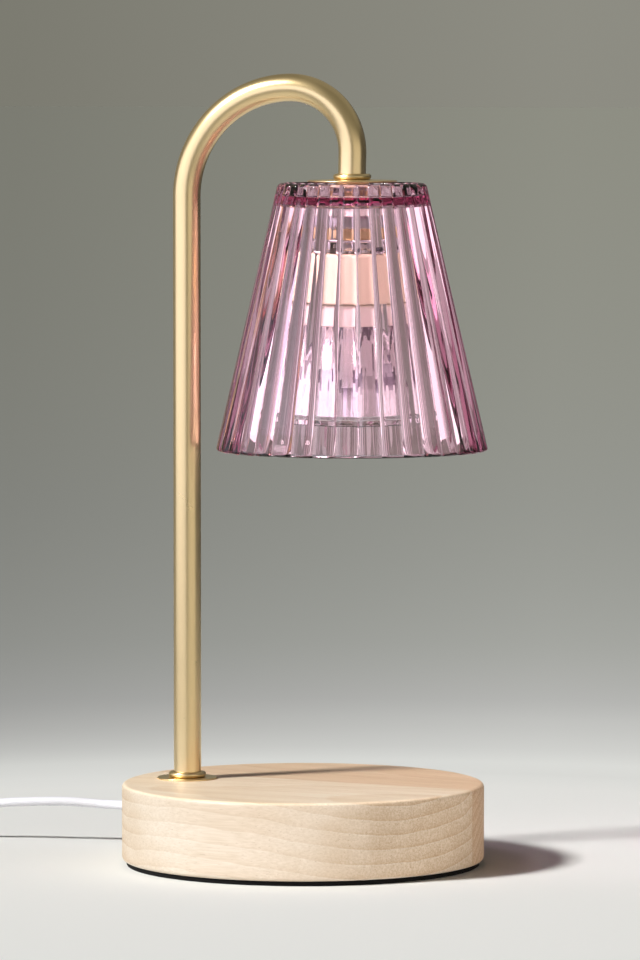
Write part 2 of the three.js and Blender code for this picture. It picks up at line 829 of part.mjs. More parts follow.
place('holder_bracket', holderBracket(), steel, head);
place('lampholder', lampholder(), ceramic, head);
sides.forEach((side, index) => {
  place(`bracket_screw_${index + 1}`, bracketScrew(screwX * Math.cos(side)), steel, head);
  place(`contact_${index + 1}`, contact(side), brass, head);
});
place('wire_live', holderWire(sides[0]), silicone, head);
place('wire_neutral', holderWire(sides[1]), silicone, head);

// Bulb
const bulb = new THREE.Group();
head.add(bulb);
const faceRadius = bulbFaceDiameter / 2;
const neckRadius = bulbNeckDiameter / 2;

// How the reflector swells from its neck to its rim, as shares of its length and of its swell.
const reflectorShares = [[0, 0], [0.1, 0.26], [0.25, 0.5], [0.45, 0.74], [0.7, 0.92], [1, 1]];

function bulbNeck() {
  const footRadius = neckRadius - bulbNeckTaper;
  return turned([
    [0, bulbNeckFoot], [footRadius, bulbNeckFoot], [neckRadius, bulbTop - bulbNeckTaper],
    [neckRadius - bulbNeckTaper, bulbTop], [0, bulbTop],
  ], mediumRoundCount);
}

function bulbReflector() {
  const start = neckRadius - bulbNeckTaper;
  const swell = faceRadius - gap - start;
  const outer = reflectorShares.map(([down, out]) => [
    start + swell * out, bulbNeckFoot - reflectorLength * down,
  ]);
  const throat = reflectorThroat / 2;
  const inner = reflectorShares.slice(1).map(([down, out]) => [
    start + swell * out - reflectorWall, bulbNeckFoot - reflectorLength * down,
  ]).reverse();
  return turned([...outer, ...inner, [throat, bulbNeckFoot - 2 * reflectorWall],
    [throat, bulbNeckFoot], outer[0]], mediumRoundCount);
}

function bulbFrontGlass() {
  const chamfer = frontGlassThickness / 3;
  const lip = faceRadius - gap - reflectorWall;
  const inside = bulbFace + frontGlassThickness;
  return turned([
    [0, bulbFace], [faceRadius - chamfer, bulbFace], [faceRadius, bulbFace + chamfer],
    [faceRadius, reflectorFoot], [lip, reflectorFoot], [lip, inside], [0, inside],
  ], mediumRoundCount);
}

function bulbCapsule() {
  const radius = capsuleDiameter / 2;
  const bore = radius - capsuleWall;
  const top = bulbNeckFoot - gap;
  const shoulder = top - capsuleLength + radius;
  return turned([
    [bore, top], [radius, top],
    ...arcPoints(0, shoulder, radius, 0, -quarter, tightCurveCount),
    ...arcPoints(0, shoulder, bore, -quarter, 0, tightCurveCount),
    [bore, top],
  ], boreCount);
}

function bulbFilament() {
  const top = bulbNeckFoot - gap;
  const half = filamentSpread / 2;
  const stations = [new THREE.Vector3(-half, 0, top)];
  for (let i = 0; i <= filamentCount; i += 1) {
    const turn = Math.PI * (1 - i / filamentCount);
    const height = top - filamentLength + half - half * Math.sin(turn);
    stations.push(new THREE.Vector3(half * Math.cos(turn), 0, height));
  }
  stations.push(new THREE.Vector3(half, 0, top));
  return tubeAlong(stations, filamentDiameter / 2, filamentCount);
}

function bulbPin(side) {
  const neck = pinNeckDiameter / 2;
  const headRadius = pinHeadDiameter / 2;
  const pin = turned([
    [0, bulbTop], [neck, bulbTop], [neck, pinHeadFoot], [headRadius, pinHeadFoot],
    [headRadius, pinHeadTop], [0, pinHeadTop],
  ], boreCount);
  return pin.translate(pinRadius * Math.cos(side), pinRadius * Math.sin(side), 0);
}

place('bulb_neck', bulbNeck(), ceramic, bulb);
place('bulb_reflector', bulbReflector(), silvered, bulb);
place('bulb_front_glass', bulbFrontGlass(), clearGlass, bulb);
place('bulb_capsule', bulbCapsule(), clearGlass, bulb);
place('bulb_filament', bulbFilament(), tungsten, bulb);
sides.forEach((side, index) => place(`bulb_pin_${index + 1}`, bulbPin(side), steel, bulb));

// Cord from the base to the dimmer
const leadStart = exitWay.clone().multiplyScalar(outletTip + gap).setZ(exitHeight);
const leadCurve = new THREE.CatmullRomCurve3([leadStart, ...vectors(leadRoute)], false, 'centripetal');
const leadSteps = 18;
place('cord_lead', tubeAlong(leadCurve.getSpacedPoints(leadSteps), cordRadius, cordSides), vinyl);

// Tapered relief with a few ribs, pointing along +Z from its root
function ribbedRelief(length, rootDiameter) {
  const root = rootDiameter / 2;
  const tip = cordRadius + reliefTipWall;
  const profile = [[0, 0], [root, 0]];
  const stations = gripRibCount * 2;
  for (let i = 1; i < stations; i += 1) {
    const share = i / stations;
    const groove = i % 2 === 1 ? gripRibDepth : 0;
    profile.push([root + (tip - root) * share - groove, length * share]);
  }
  profile.push([tip, length], [0, length]);
  return turned(profile, boreCount);
}

// Dimmer
const dimmer = new THREE.Group();
const inletTip = leadRoute.at(-1);
const dimmerHalf = dimmerLength / 2;
dimmer.position.set(inletTip[0] - 2 * gap - gripLength - dimmerHalf, inletTip[1], 0);
lamp.add(dimmer);
const dimmerSplit = dimmerHeight / 2;
const cavityFoot = dimmerWall;
const cavityTop = dimmerHeight - dimmerWall;
const potFoot = cavityFoot + boardThickness;
const knobFoot = dimmerHeight + gap;

function dimmerBlank() {
  const shape = roundedRectangle(dimmerLength, dimmerWidth, dimmerCorner);
  const options = {
    depth: dimmerHeight - 2 * dimmerEdgeRound,
    bevelThickness: dimmerEdgeRound,
    bevelSize: dimmerEdgeRound,
    bevelOffset: -dimmerEdgeRound,
    bevelSegments: 1,
    curveSegments: smallCurveCount,
  };
  return new THREE.ExtrudeGeometry(shape, options).translate(0, 0, dimmerEdgeRound);
}

function slab(foot, top) {
  const size = dimmerLength + 2 * overrun;
  const box = new THREE.BoxGeometry(size, size, top - foot);
  return box.translate(0, 0, (foot + top) / 2);
}

function dimmerCavity() {
  const width = dimmerWidth - 2 * dimmerWall;
  const corner = dimmerCorner - dimmerWall;
  const shape = roundedRectangle(dimmerCavityLength, width, corner);
  return outward(prism(shape, cavityFoot, cavityTop, smallCurveCount));
}

const dimmerScrewPlaces = [-dimmerScrewSpacing / 2, dimmerScrewSpacing / 2];

function dimmerLowerShell() {
  const screwHoles = dimmerScrewPlaces.flatMap((x) => [
    disc(dimmerScrewShank / 2 + gap, -overrun, dimmerHeight, boreCount).translate(x, 0, 0),
    disc(dimmerScrewHead / 2 + gap, -overrun, dimmerScrewHeadHeight + gap, boreCount)
      .translate(x, 0, 0),
  ]);
  const upperHalf = slab(dimmerSplit, dimmerHeight + overrun);
  return cut(dimmerBlank(), upperHalf, dimmerCavity(), ...screwHoles);
}

function dimmerUpperShell() {
  const shaftHole = disc(knobShaftDiameter / 2 + gap, cavityTop - overrun, dimmerHeight + overrun,
    boreCount);
  const screwHoles = dimmerScrewPlaces.map((x) => disc(dimmerScrewShank / 2 + gap, -overrun,
    dimmerSplit + dimmerScrewReach + gap, boreCount).translate(x, 0, 0));
  return cut(dimmerBlank(), slab(-overrun, dimmerSplit), dimmerCavity(), shaftHole, ...screwHoles);
}

function dimmerKnob() {
  const shape = new THREE.Shape();
  const points = knobRidgeCount * 2;
  for (let i = 0; i < points; i += 1) {
    const radius = knobDiameter / 2 - (i % 2) * knobRidgeDepth;
    const turn = i * 2 * Math.PI / points;
    if (i === 0) shape.moveTo(radius, 0);
    else shape.lineTo(radius * Math.cos(turn), radius * Math.sin(turn));
  }
  const grip = prism(shape, knobFoot, knobFoot + knobHeight);
  const shaft = disc(knobShaftDiameter / 2, potFoot + gap, knobFoot + overrun, boreCount);
  return join(grip, shaft);
}

function dimmerBoard() {
  const length = dimmerCavityLength - 2 * dimmerWall;
  const width = dimmerWidth - 4 * dimmerWall;
  const shape = roundedRectangle(length, width, dimmerWall);
  return outward(prism(shape, cavityFoot, potFoot, tinyCurveCount));
}

function dimmerScrew(x) {
  const seat = dimmerScrewHeadHeight;
  const reach = dimmerSplit + dimmerScrewReach;
  return turned([
    [0, gap], [dimmerScrewHead / 2, gap], [dimmerScrewHead / 2, seat],
    [dimmerScrewShank / 2, seat], [dimmerScrewShank / 2, reach], [0, reach],
  ], boreCount).translate(x, 0, 0);
}

const potBore = knobShaftDiameter / 2 + gap;
place('dimmer_lower_shell', dimmerLowerShell(), plastic, dimmer);
place('dimmer_upper_shell', dimmerUpperShell(), plastic, dimmer);
place('dimmer_board', dimmerBoard(), boardGreen, dimmer);
place('dimmer_potentiometer', ring(potDiameter / 2, potBore, potFoot, potFoot + potHeight,
  smallRoundCount), steel, dimmer);
place('dimmer_knob', dimmerKnob(), plastic, dimmer);
dimmerScrewPlaces.forEach((x, index) => {
  place(`dimmer_screw_${index + 1}`, dimmerScrew(x), steel, dimmer);
});
const inletGrip = ribbedRelief(gripLength, gripRootDiameter).rotateY(quarter);
inletGrip.translate(dimmerHalf + gap, 0, dimmerSplit);
place('dimmer_grip_in', inletGrip, plastic, dimmer);
const outletGrip = ribbedRelief(gripLength, gripRootDiameter).rotateY(-quarter);
outletGrip.translate(-dimmerHalf - gap, 0, dimmerSplit);
place('dimmer_grip_out', outletGrip, plastic, dimmer);

// Coil: the cord spirals in and out again, and climbs a layer in the half turn at each reversal.
const coilSwell = coilPitch * coilTurnsPerLayer;
const coilOuterRadius = coilInnerRadius + coilSwell;
const coilTurns = coilLayerCount * coilTurnsPerLayer;
const coilFoot = coilLift + cordRadius;
const coilStart = linkRoute.at(-1);
const coilX = coilStart[0] + coilOuterRadius;
const coilY = coilStart[1] - gap - cordDiameter;

function coilPoint(turns) {
  const layer = Math.min(Math.floor(turns / coilTurnsPerLayer), coilLayerCount - 1);
  const along = turns / coilTurnsPerLayer - layer;
  const inward = layer % 2 === 0 ? along : 1 - along;
  const radius = coilOuterRadius - coilSwell * inward;
  let climb = 0;
  for (let i = 1; i < coilLayerCount; i += 1) {
    const past = (turns - i * coilTurnsPerLayer) * 2 + 0.5;
    climb += THREE.MathUtils.clamp(past, 0, 1);
  }
  const turn = Math.PI + turns * 2 * Math.PI;
  return new THREE.Vector3(
    coilX + radius * Math.cos(turn),
    coilY + radius * Math.sin(turn),
    coilFoot + coilPitch * climb,
  );
}

function coilStations() {
  const count = Math.round(coilTurns * coilLoopSteps);
  const stations = [];
  for (let i = 0; i <= count; i += 1) stations.push(coilPoint(coilTurns * i / count));
  const first = stations[0].clone();
  const last = stations.at(-1).clone();
  stations.unshift(first.setY(first.y + cordDiameter));
  stations.push(last.setX(last.x + cordDiameter));
  return stations;
}

function distanceBetween(a, b, c, d) {
  const first = new THREE.Line3(a, b);
  const second = new THREE.Line3(c, d);
  const near = new THREE.Vector3();
  const other = new THREE.Vector3();
  return Math.sqrt(first.distanceSqToLine3(second, near, other));
}

// Least gap between stretches that are more than half a turn apart along the coil
function coilLeastGap(stations) {
  const apart = coilLoopSteps / 2;
  let least = Infinity;
  for (let i = 0; i < stations.length - 1; i += 1) {
    for (let j = i + apart; j < stations.length - 1; j += 1) {
      const [a, b, c, d] = [stations[i], stations[i + 1], stations[j], stations[j + 1]];
      if (a.distanceTo(c) < coilPitch * 2) least = Math.min(least, distanceBetween(a, b, c, d));
    }
  }
  return least - cordDiameter;
}

const coilPath = coilStations();
const pathLength = (points) => points.slice(1).reduce(
  (total, point, index) => total + point.distanceTo(points[index]), 0);
place('cord_coil', tubeAlong(coilPath, cordRadius, coilSides), vinyl);

function cordTie() {
  const inner = coilInnerRadius - cordRadius - 2 * gap;
  const outer = coilOuterRadius + cordRadius + 2 * gap;
  const low = coilLift - 2 * gap;
  const high = coilFoot + coilPitch * (coilLayerCount - 1) + cordRadius + gap;
  const length = outer - inner;
  const height = high - low;
  const corner = cordRadius / 2;
  const shape = roundedRectangle(length + 2 * tieThickness, height + 2 * tieThickness - gap, corner);
  shape.holes.push(roundedRectangle(length, height, corner - tieThickness / 2));
  const band = prism(shape, -tieWidth / 2, tieWidth / 2, tightCurveCount).rotateX(quarter);
  return outward(band.translate(coilX + (inner + outer) / 2, coilY, (low + high) / 2 + gap / 2));
}

place('cord_tie', cordTie(), vinyl);

// Cord from the dimmer to the coil
const linkStart = new THREE.Vector3(
  dimmer.position.x - dimmerHalf - gripLength - 2 * gap, dimmer.position.y, dimmerSplit);
const linkCurve = new THREE.CatmullRomCurve3([linkStart, ...vectors(linkRoute)], false, 'centripetal');
const linkSteps = 10;
place('cord_link', tubeAlong(linkCurve.getSpacedPoints(linkSteps), cordRadius, cordSides), vinyl);

// Cord from the coil to the plug
const tailStart = coilPath.at(-1).clone();
tailStart.x += gap;
const tailCurve = new THREE.CatmullRomCurve3([tailStart, ...vectors(tailRoute)], false, 'centripetal');
const tailSteps = 7;
place('cord_tail', tubeAlong(tailCurve.getSpacedPoints(tailSteps), cordRadius, cordSides), vinyl);

// Plug
const plug = new THREE.Group();
const plugTip = tailRoute.at(-1);
const plugMiddle = plugHeight / 2;
plug.position.set(plugTip[0] + gap, plugTip[1], 0);
lamp.add(plug);
const plugTail = plugReliefLength + gap;
const plugFace = plugTail + plugLength;

function bladeSlot(y, width, extra, from, to) {
  const box = new THREE.BoxGeometry(to - from, bladeThickness + extra, width + extra);
  return box.translate((from + to) / 2, y, plugMiddle);
}

function plugBody() {
  const shape = new THREE.Shape();
  const half = plugWidth / 2;
  const tail = plugTailWidth / 2;
  const waist = plugTail + plugLength * plugWaistShare;
  shape.moveTo(plugTail, -tail);
  shape.bezierCurveTo(waist, -tail, waist, -half, plugFace, -half);
  shape.lineTo(plugFace, half);
  shape.bezierCurveTo(waist, half, waist, tail, plugTail, tail);
  const options = {
    depth: plugHeight - 2 * plugRound,
    bevelThickness: plugRound,
    bevelSize: plugRound,
    bevelOffset: -plugRound,
    bevelSegments: tightCurveCount,
    curveSegments: outlineCurveCount,
  };
  const blank = new THREE.ExtrudeGeometry(shape, options).translate(0, 0, plugRound);
  const slots = [[bladeSpacing / 2, narrowBladeWidth], [-bladeSpacing / 2, wideBladeWidth]].map(
    ([y, width]) => bladeSlot(y, width, 2 * gap, plugFace - bladeSeat - gap, plugFace + overrun));
  return cut(blank, ...slots);
}

function plugBlade(y, width) {
  return outward(bladeSlot(y, width, 0, plugFace - bladeSeat, plugFace + bladeLength));
}

place('plug_body', plugBody(), plastic, plug);
place('plug_blade_narrow', plugBlade(bladeSpacing / 2, narrowBladeWidth), brass, plug);
place('plug_blade_wide', plugBlade(-bladeSpacing / 2, wideBladeWidth), brass, plug);
const plugRelief = ribbedRelief(plugReliefLength, plugReliefRoot).rotateY(-quarter);
place('plug_relief', plugRelief.translate(plugReliefLength, 0, plugMiddle), plastic, plug);

const leadLength = pathLength(leadCurve.getSpacedPoints(routeSampleCount));
const linkLength = pathLength(linkCurve.getSpacedPoints(routeSampleCount));
const tailLength = pathLength(tailCurve.getSpacedPoints(routeSampleCount));
const coilLength = pathLength(coilPath);
console.log(`coil: least gap to itself ${coilLeastGap(coilPath).toFixed(2)} mm`);
console.log(`cord: lead ${leadLength.toFixed(1)}, link ${linkLength.toFixed(1)}, `
  + `coil ${coilLength.toFixed(1)}, tail ${tailLength.toFixed(1)} mm`);

export default lamp;
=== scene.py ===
# %% [markdown]
# A candle warmer lamp: a turned wooden disc, a bent brass stem, and a fluted pink glass shade
# with a halogen bulb under its crown. The construction is already packed as a frame of plain
# solids, so the first step is to load it. Everything made below is in metres and sits where
# the frame has it. The frame itself is never moved.

# %% Load the lamp's frame
import math
from collections import namedtuple

import bmesh
import bpy
from mathutils import Matrix, Vector


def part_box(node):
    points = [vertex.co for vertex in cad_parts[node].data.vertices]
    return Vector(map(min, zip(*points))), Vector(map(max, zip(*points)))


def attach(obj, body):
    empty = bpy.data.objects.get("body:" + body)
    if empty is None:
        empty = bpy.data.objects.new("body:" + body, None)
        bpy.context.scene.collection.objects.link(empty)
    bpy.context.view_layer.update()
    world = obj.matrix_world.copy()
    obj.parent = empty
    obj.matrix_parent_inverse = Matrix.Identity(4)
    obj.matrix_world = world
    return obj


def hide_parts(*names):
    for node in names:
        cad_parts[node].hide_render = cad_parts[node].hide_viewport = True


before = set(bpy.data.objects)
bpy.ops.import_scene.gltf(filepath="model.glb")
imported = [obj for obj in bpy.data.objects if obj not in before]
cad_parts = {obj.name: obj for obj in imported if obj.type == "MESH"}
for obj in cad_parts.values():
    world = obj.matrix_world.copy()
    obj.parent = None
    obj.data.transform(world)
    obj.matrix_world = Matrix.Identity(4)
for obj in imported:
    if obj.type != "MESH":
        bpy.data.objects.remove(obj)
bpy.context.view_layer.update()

MM = 0.001
QUARTER = math.pi / 2
FULL = 2 * math.pi

# %% [markdown]
# The camera comes first, because the cord has to leave the picture at the right place. It
# stands 2.7 metres away with a long lens, looks a little down, and is turned 17.5 degrees
# about the lamp, so the stem and the shade sit side by side in a tall picture.

# %% Camera
camera_place = Vector((0.8100, -2.5452, 0.3385))
camera_turn = math.radians(17.5)
camera_pitch = 0.066


def add_object(name, data):
    """Puts a new object into the scene."""
    made = bpy.data.objects.new(name, data)
    bpy.context.scene.collection.objects.link(made)
    return made


camera_data = bpy.data.cameras.new("camera")
camera_data.lens = 239.2
camera_data.sensor_width = 36
camera = add_object("camera", camera_data)
camera.location = camera_place
camera.rotation_euler = (QUARTER - camera_pitch, 0, camera_turn)
bpy.context.scene.camera = camera
print("camera stands", round(camera_place.length, 2), "m from the lamp")

# %% [markdown]
# Most pieces of a lamp are turned, pressed or moulded, so their skins are rings of points
# joined one to the next. One builder serves them all. Rings that shrink to a point close a
# piece, and a closed row of rings makes a hollow one.

# %% Rings and lofts
def shaded(mesh, crease=35):
    """Smooth shading that keeps real edges sharp."""
    mesh.shade_smooth()
    mesh.set_sharp_from_angle(angle=math.radians(crease))


def lofted(name, rings, closed=False):
    """A skin that runs from ring to ring. All rings have as many points."""
    count = len(rings[0])
    points = [point for ring in rings for point in ring]
    faces = []
    for row in range(len(rings) if closed else len(rings) - 1):
        here = row * count
        there = (row + 1) % len(rings) * count
        for i in range(count):
            j = (i + 1) % count
            faces.append((here + i, here + j, there + j, there + i))
    if not closed:
        faces.append(tuple(reversed(range(count))))
        faces.append(tuple(range(len(points) - count, len(points))))
    mesh = bpy.data.meshes.new(name)
    mesh.from_pydata(points, [], faces)
    work = bmesh.new()
    work.from_mesh(mesh)
    bmesh.ops.remove_doubles(work, verts=work.verts, dist=0.001 * MM)
    bmesh.ops.recalc_face_normals(work, faces=work.faces)
    if work.calc_volume(signed=True) < 0:
        bmesh.ops.reverse_faces(work, faces=work.faces)
    work.to_mesh(mesh)
    work.free()
    shaded(mesh)
    return add_object(name, mesh)


# %% [markdown]
# A turned piece needs only circles, and a circle whose radius changes from point to point
# makes ribs, ridges, facets or a hexagon. Quarter turns come back in every rounded edge.

# %% Circles and turned pieces
def around(turn, reach, height=0):
    """A point at a turn about the upright axis."""
    return Vector((math.cos(turn), math.sin(turn), 0)) * reach + Vector((0, 0, height))


def circle(radii, height, centre, count=0):
    """A level ring of points, from one radius and a count or from a list of radii."""
    if not isinstance(radii, list):
        radii = [radii] * count
    ring = []
    for i, radius in enumerate(radii):
        turn = i * FULL / len(radii)
        x = centre[0] + radius * math.cos(turn)
        ring.append((x, centre[1] + radius * math.sin(turn), height))
    return ring


def turned(name, profile, centre=(0, 0), count=96, closed=False):
    """A piece turned about the upright line through centre, from (radius, height) pairs."""
    return lofted(name, [circle(r, z, centre, count) for r, z in profile], closed)


def rod(name, radius, foot, top, centre=(0, 0), count=24):
    return turned(name, [(radius, foot), (radius, top)], centre, count)


def band(inner, outer, foot, top):
    """The four corners of a turned ring. From the axis out it is a disc."""
    return [(inner, foot), (outer, foot), (outer, top), (inner, top)]


def quarter(steps):
    """The sine and cosine of even steps through a quarter turn."""
    turns = [QUARTER * i / steps for i in range(steps + 1)]
    return [(math.sin(turn), math.cos(turn)) for turn in turns]


# %% [markdown]
# No real edge is perfectly sharp. A short curve in place of each corner catches a line of
# light, which is what makes a rendered edge look made. Each corner may have its own radius.
# Sizes come from the frame: the box of a node gives a piece its place and its reach.

# %% Softened corners, boxes and the fitting of a piece
BODY = "root"
CORNER_SHARE = 0.45
KEEN_EDGE = 0.2 * MM
FINE_EDGE = 0.3 * MM
SOFT_EDGE = 0.5 * MM
Box = namedtuple("Box", "low high middle half")


def softened(profile, radius, steps=4, closed=False):
    """The profile with a short curve in place of each corner."""
    radii = radius if isinstance(radius, list) else [radius] * len(profile)
    result = []
    for i, corner in enumerate(profile):
        if radii[i] == 0 or (not closed and i in (0, len(profile) - 1)):
            result.append(tuple(corner))
            continue
        here = Vector(corner)
        towards = Vector(profile[i - 1]) - here
        onwards = Vector(profile[(i + 1) % len(profile)]) - here
        start = here + towards.normalized() * min(radii[i], towards.length * CORNER_SHARE)
        end = here + onwards.normalized() * min(radii[i], onwards.length * CORNER_SHARE)
        for step in range(steps + 1):
            t = step / steps
            result.append(tuple(start.lerp(here, t).lerp(here.lerp(end, t), t)))
    return result


def box(node):
    """The box of a node of the frame."""
    low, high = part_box(node)
    return Box(low, high, (low + high) / 2, (high - low) / 2)


def fit(piece, material, slot, *nodes, body=BODY):
    """Gives a piece its finish and its body, and hides the frame's nodes that it stands for."""
    piece.data.materials.append(material)
    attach(piece, body)
    if nodes:
        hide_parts(*nodes)
    return piece


# %% [markdown]
# A mains cord is one smooth curve that leaves its relief straight, then bends under its own
# weight. Its route is a few listed points, with a Catmull-Rom curve through them,
# so the cord passes through each point and never kinks.

# %% A smooth route through chosen points
ROUTE_STEPS = 12


def smooth_route(points):
    """A centripetal Catmull-Rom curve through the points, as a fine line."""
    rows = [points[0] * 2 - points[1], *points, points[-1] * 2 - points[-2]]
    line = []
    for a, b, c, d in zip(rows, rows[1:], rows[2:], rows[3:]):
        first = (b - a).length ** 0.5
        middle = (c - b).length ** 0.5
        last = (d - c).length ** 0.5
        leaving = ((b - a) / first - (c - a) / (first + middle) + (c - b) / middle) * middle
        arriving = ((c - b) / middle - (d - b) / (middle + last) + (d - c) / last) * middle
        bending = (c - b) * 3 - leaving * 2 - arriving
        settling = (b - c) * 2 + leaving + arriving
        for step in range(ROUTE_STEPS):
            t = step / ROUTE_STEPS
            line.append(b + leaving * t + bending * t**2 + settling * t**3)
    line.append(points[-1])
    return line


def in_metres(rows):
    return [Vector(row) * MM for row in rows]


# %% [markdown]
# The cord is white vinyl, 4 mm thick and about 1.8 m long, which is what such a table lamp
# has. It leaves the back of the base, runs past the left edge of the picture, and reaches a
# rotary dimmer. The rest is put away beside it: a neat round coil of four layers, with the
# plug lying next to it.

# %% Cord routes
cord_diameter = 4.0 * MM
outlet_turn = math.radians(156)
outlet_reach = 97.4 * MM
outlet_height = 16.8 * MM
gap = 0.3 * MM
lead_start = around(outlet_turn, outlet_reach, outlet_height)
lead_points = in_metres([
    (-93.5, 41.6, 16.8), (-98.2, 43.2, 16.7), (-103.5, 44.1, 16.6), (-110, 44.0, 16.9),
    (-117, 43.2, 17.3), (-124, 42.4, 17.4), (-132, 41.6, 17.2), (-140, 40.9, 16.8),
    (-148.6, 40.2, 16.2), (-156, 39.8, 14.9), (-163, 39.5, 12.7), (-170, 39.3, 9.6),
    (-177, 39.1, 6.3), (-184, 38.9, 3.7), (-190, 38.8, 2.5), (-196, 38.7, 2.4),
    (-202, 38.6, 3.6), (-207.5, 38.5, 5.7), (-212, 38.5, 7.5), (-216, 38.5, 8), (-220, 38.5, 8),
])
link_points = in_metres([
    (-306, 38.5, 8), (-311, 38, 7.6), (-317, 36, 6.7), (-323, 31.6, 5.5), (-327, 25.6, 4.4),
    (-329, 19, 3.6), (-329.5, 11, 3.4), (-329.5, 3, 3.4), (-329.5, -6, 3.4),
])
tail_points = in_metres([
    (-291.5, -39.8, 16.8), (-286.5, -39.8, 16.4), (-281, -39.8, 15.2), (-275, -39.8, 13.2),
    (-268.5, -39.8, 10.6), (-262.5, -39.8, 8.5), (-258, -39.8, 7.6), (-254, -39.8, 7.5),
])
print("lead:", len(lead_points), "points, link:", len(link_points), "points")

# %% [markdown]
# The coil is worked out by a loop. Its radius shrinks and grows again at a steady rate, and
# in the half turn where the spiral reverses the cord climbs on top of itself.

# %% Coil of spare cord
coil_inner_radius = 18 * MM
coil_pitch = 4.48 * MM
coil_layers = 4
layer_turns = 2.5625
climb_turns = 0.5
coil_steps_per_turn = 48
coil_swell = coil_pitch * layer_turns
coil_outer_radius = coil_inner_radius + coil_swell
coil_turns = coil_layers * layer_turns
coil_start = link_points[-1]
coil_middle = Vector((coil_start.x + coil_outer_radius, coil_start.y - gap - cord_diameter, 0))


def coil_point(turns):
    """Where the cord is after so many turns."""
    layer = min(int(turns / layer_turns), coil_layers - 1)
    along = turns / layer_turns - layer
    inward = along if layer % 2 == 0 else 1 - along
    climb = 0
    for i in range(1, coil_layers):
        climb += min(max((turns - i * layer_turns) / climb_turns + 0.5, 0), 1)
    height = coil_start.z + coil_pitch * climb
    return coil_middle + around(math.pi + turns * FULL, coil_outer_radius - coil_swell * inward, height)


coil_count = round(coil_turns * coil_steps_per_turn)
coil_line = [coil_point(coil_turns * i / coil_count) for i in range(coil_count + 1)]
coil_end = coil_line[-1] + Vector((cord_diameter, 0, 0))
print("coil:", round(2 * (coil_outer_radius + cord_diameter / 2) / MM), "mm across outside")

# %% [markdown]
# A curve with a round bevel is the plain way to make a cord: it stays one open line, so its
# length can be measured, and its surface stays smooth however tightly it is wound.

# %% Cord lines and strands
link_start = Vector((box("dimmer_grip_out").low.x - gap, link_points[0].y, link_points[0].z))
tail_start = coil_end + Vector((gap, 0, 0))
lead_line = smooth_route([lead_start, *lead_points])
supply_line = [
    *smooth_route([link_start, *link_points]), *coil_line, coil_end,
    *smooth_route([tail_start, *tail_points]),
]


def strand(name, line, diameter):
    """A cord: a curve of one open spline, as thick as the diameter."""
    curve = bpy.data.curves.new(name, "CURVE")
    curve.dimensions = "3D"
    curve.bevel_depth = diameter / 2
    curve.bevel_resolution = 3
    curve.use_fill_caps = True
    spline = curve.splines.new("POLY")
    spline.points.add(len(line) - 1)
    for point, place in zip(spline.points, line):
        point.co = (*place, 1)
    spline.use_smooth = True
    return add_object(name, curve)


# %% [markdown]
# A material is a small graph of nodes. One class keeps the graphs readable: each of its
# words adds a node, fills its sockets and hands on what comes out. Every pattern reads
# object coordinates, so it is fixed to the piece and has a real size.

# %% Helpers for node graphs
class Graph:
    """The nodes of a material or a group. Sockets take a value or another node's output."""

    def __init__(self, tree):
        self.tree = tree

    def feed(self, value, socket):
        if isinstance(value, bpy.types.NodeSocket):
            self.tree.links.new(value, socket)
        else:
            socket.default_value = value

    def node(self, kind, settings=None, **sockets):
        """Adds a node and fills its sockets by name."""
        made = self.tree.nodes.new("ShaderNode" + kind)
        for key, value in (settings or {}).items():
            setattr(made, key, value)
        for key, value in sockets.items():
            self.feed(value, made.inputs[key.replace("_", " ")])
        return made

    def filled(self, kind, values, **settings):
        """Adds a node and fills its sockets in their order."""
        made = self.node(kind, settings)
        for value, socket in zip(values, made.inputs):
            self.feed(value, socket)
        return made.outputs

    def calc(self, operation, *values):
        return self.filled("Math", values, operation=operation)[0]

    def vector(self, operation, *values):
        return self.filled("VectorMath", values, operation=operation)

    def scaled(self, vector, factor):
        return self.node("VectorMath", {"operation": "SCALE"}, Vector=vector, Scale=factor).outputs[0]

    def ranged(self, *values, steps="LINEAR"):
        """A value moved from one range to another, and held inside it."""
        return self.filled("MapRange", values, interpolation_type=steps)[0]

    def mix(self, share, first, second, mode="MIX"):
        """Two colours mixed by a share."""
        made = self.node("Mix", {"data_type": "RGBA", "blend_type": mode})
        for value, index in ((share, 0), (first, 6), (second, 7)):
            self.feed(value, made.inputs[index])
        return made.outputs[2]

    def tint(self, share, first, second):
        """A colour multiplied by another, as far as the share goes."""
        return self.mix(share, first, second, "MULTIPLY")

    def place(self):
        """The coordinates of the piece that wears the material."""
        return self.node("TexCoord").outputs["Object"]

    def parts(self, vector):
        return self.node("SeparateXYZ", Vector=vector).outputs

    def noise(self, place, scale, detail, distortion=0.0):
        made = self.node("TexNoise", Vector=place, Scale=scale, Detail=detail, Distortion=distortion)
        return made.outputs["Fac"]

    def ramp(self, share, stops):
        """A row of tones, each at its stop."""
        made = self.node("ValToRGB")
        self.feed(share, made.inputs[0])
        elements = made.color_ramp.elements
        while len(elements) < len(stops):
            elements.new(0.5)
        for element, (stop, tone) in zip(elements, stops):
            element.position = stop
            element.color = tone
        return made.outputs["Color"]

    def bump(self, height, depth, strength=1.0):
        made = self.node("Bump", Strength=strength, Distance=depth * MM, Height=height)
        return made.outputs["Normal"]

    def group(self, other, **sockets):
        return self.node("Group", {"node_tree": other.tree}, **sockets).outputs[0]

    def coat(self, **sockets):
        """Fills the sockets of the material's shader."""
        for key, value in sockets.items():
            self.feed(value, self.tree.nodes["Principled BSDF"].inputs[key.replace("_", " ")])


def colour(red, green, blue):
    return (red, green, blue, 1.0)


# %% [markdown]
# Some effects are shared by many finishes, so each is a node group with named inputs, built
# once. The grain is fine relief, stretched along one direction if the finish has one. No
# real surface is even, so one group drifts its tone in soft clouds and one its gloss.

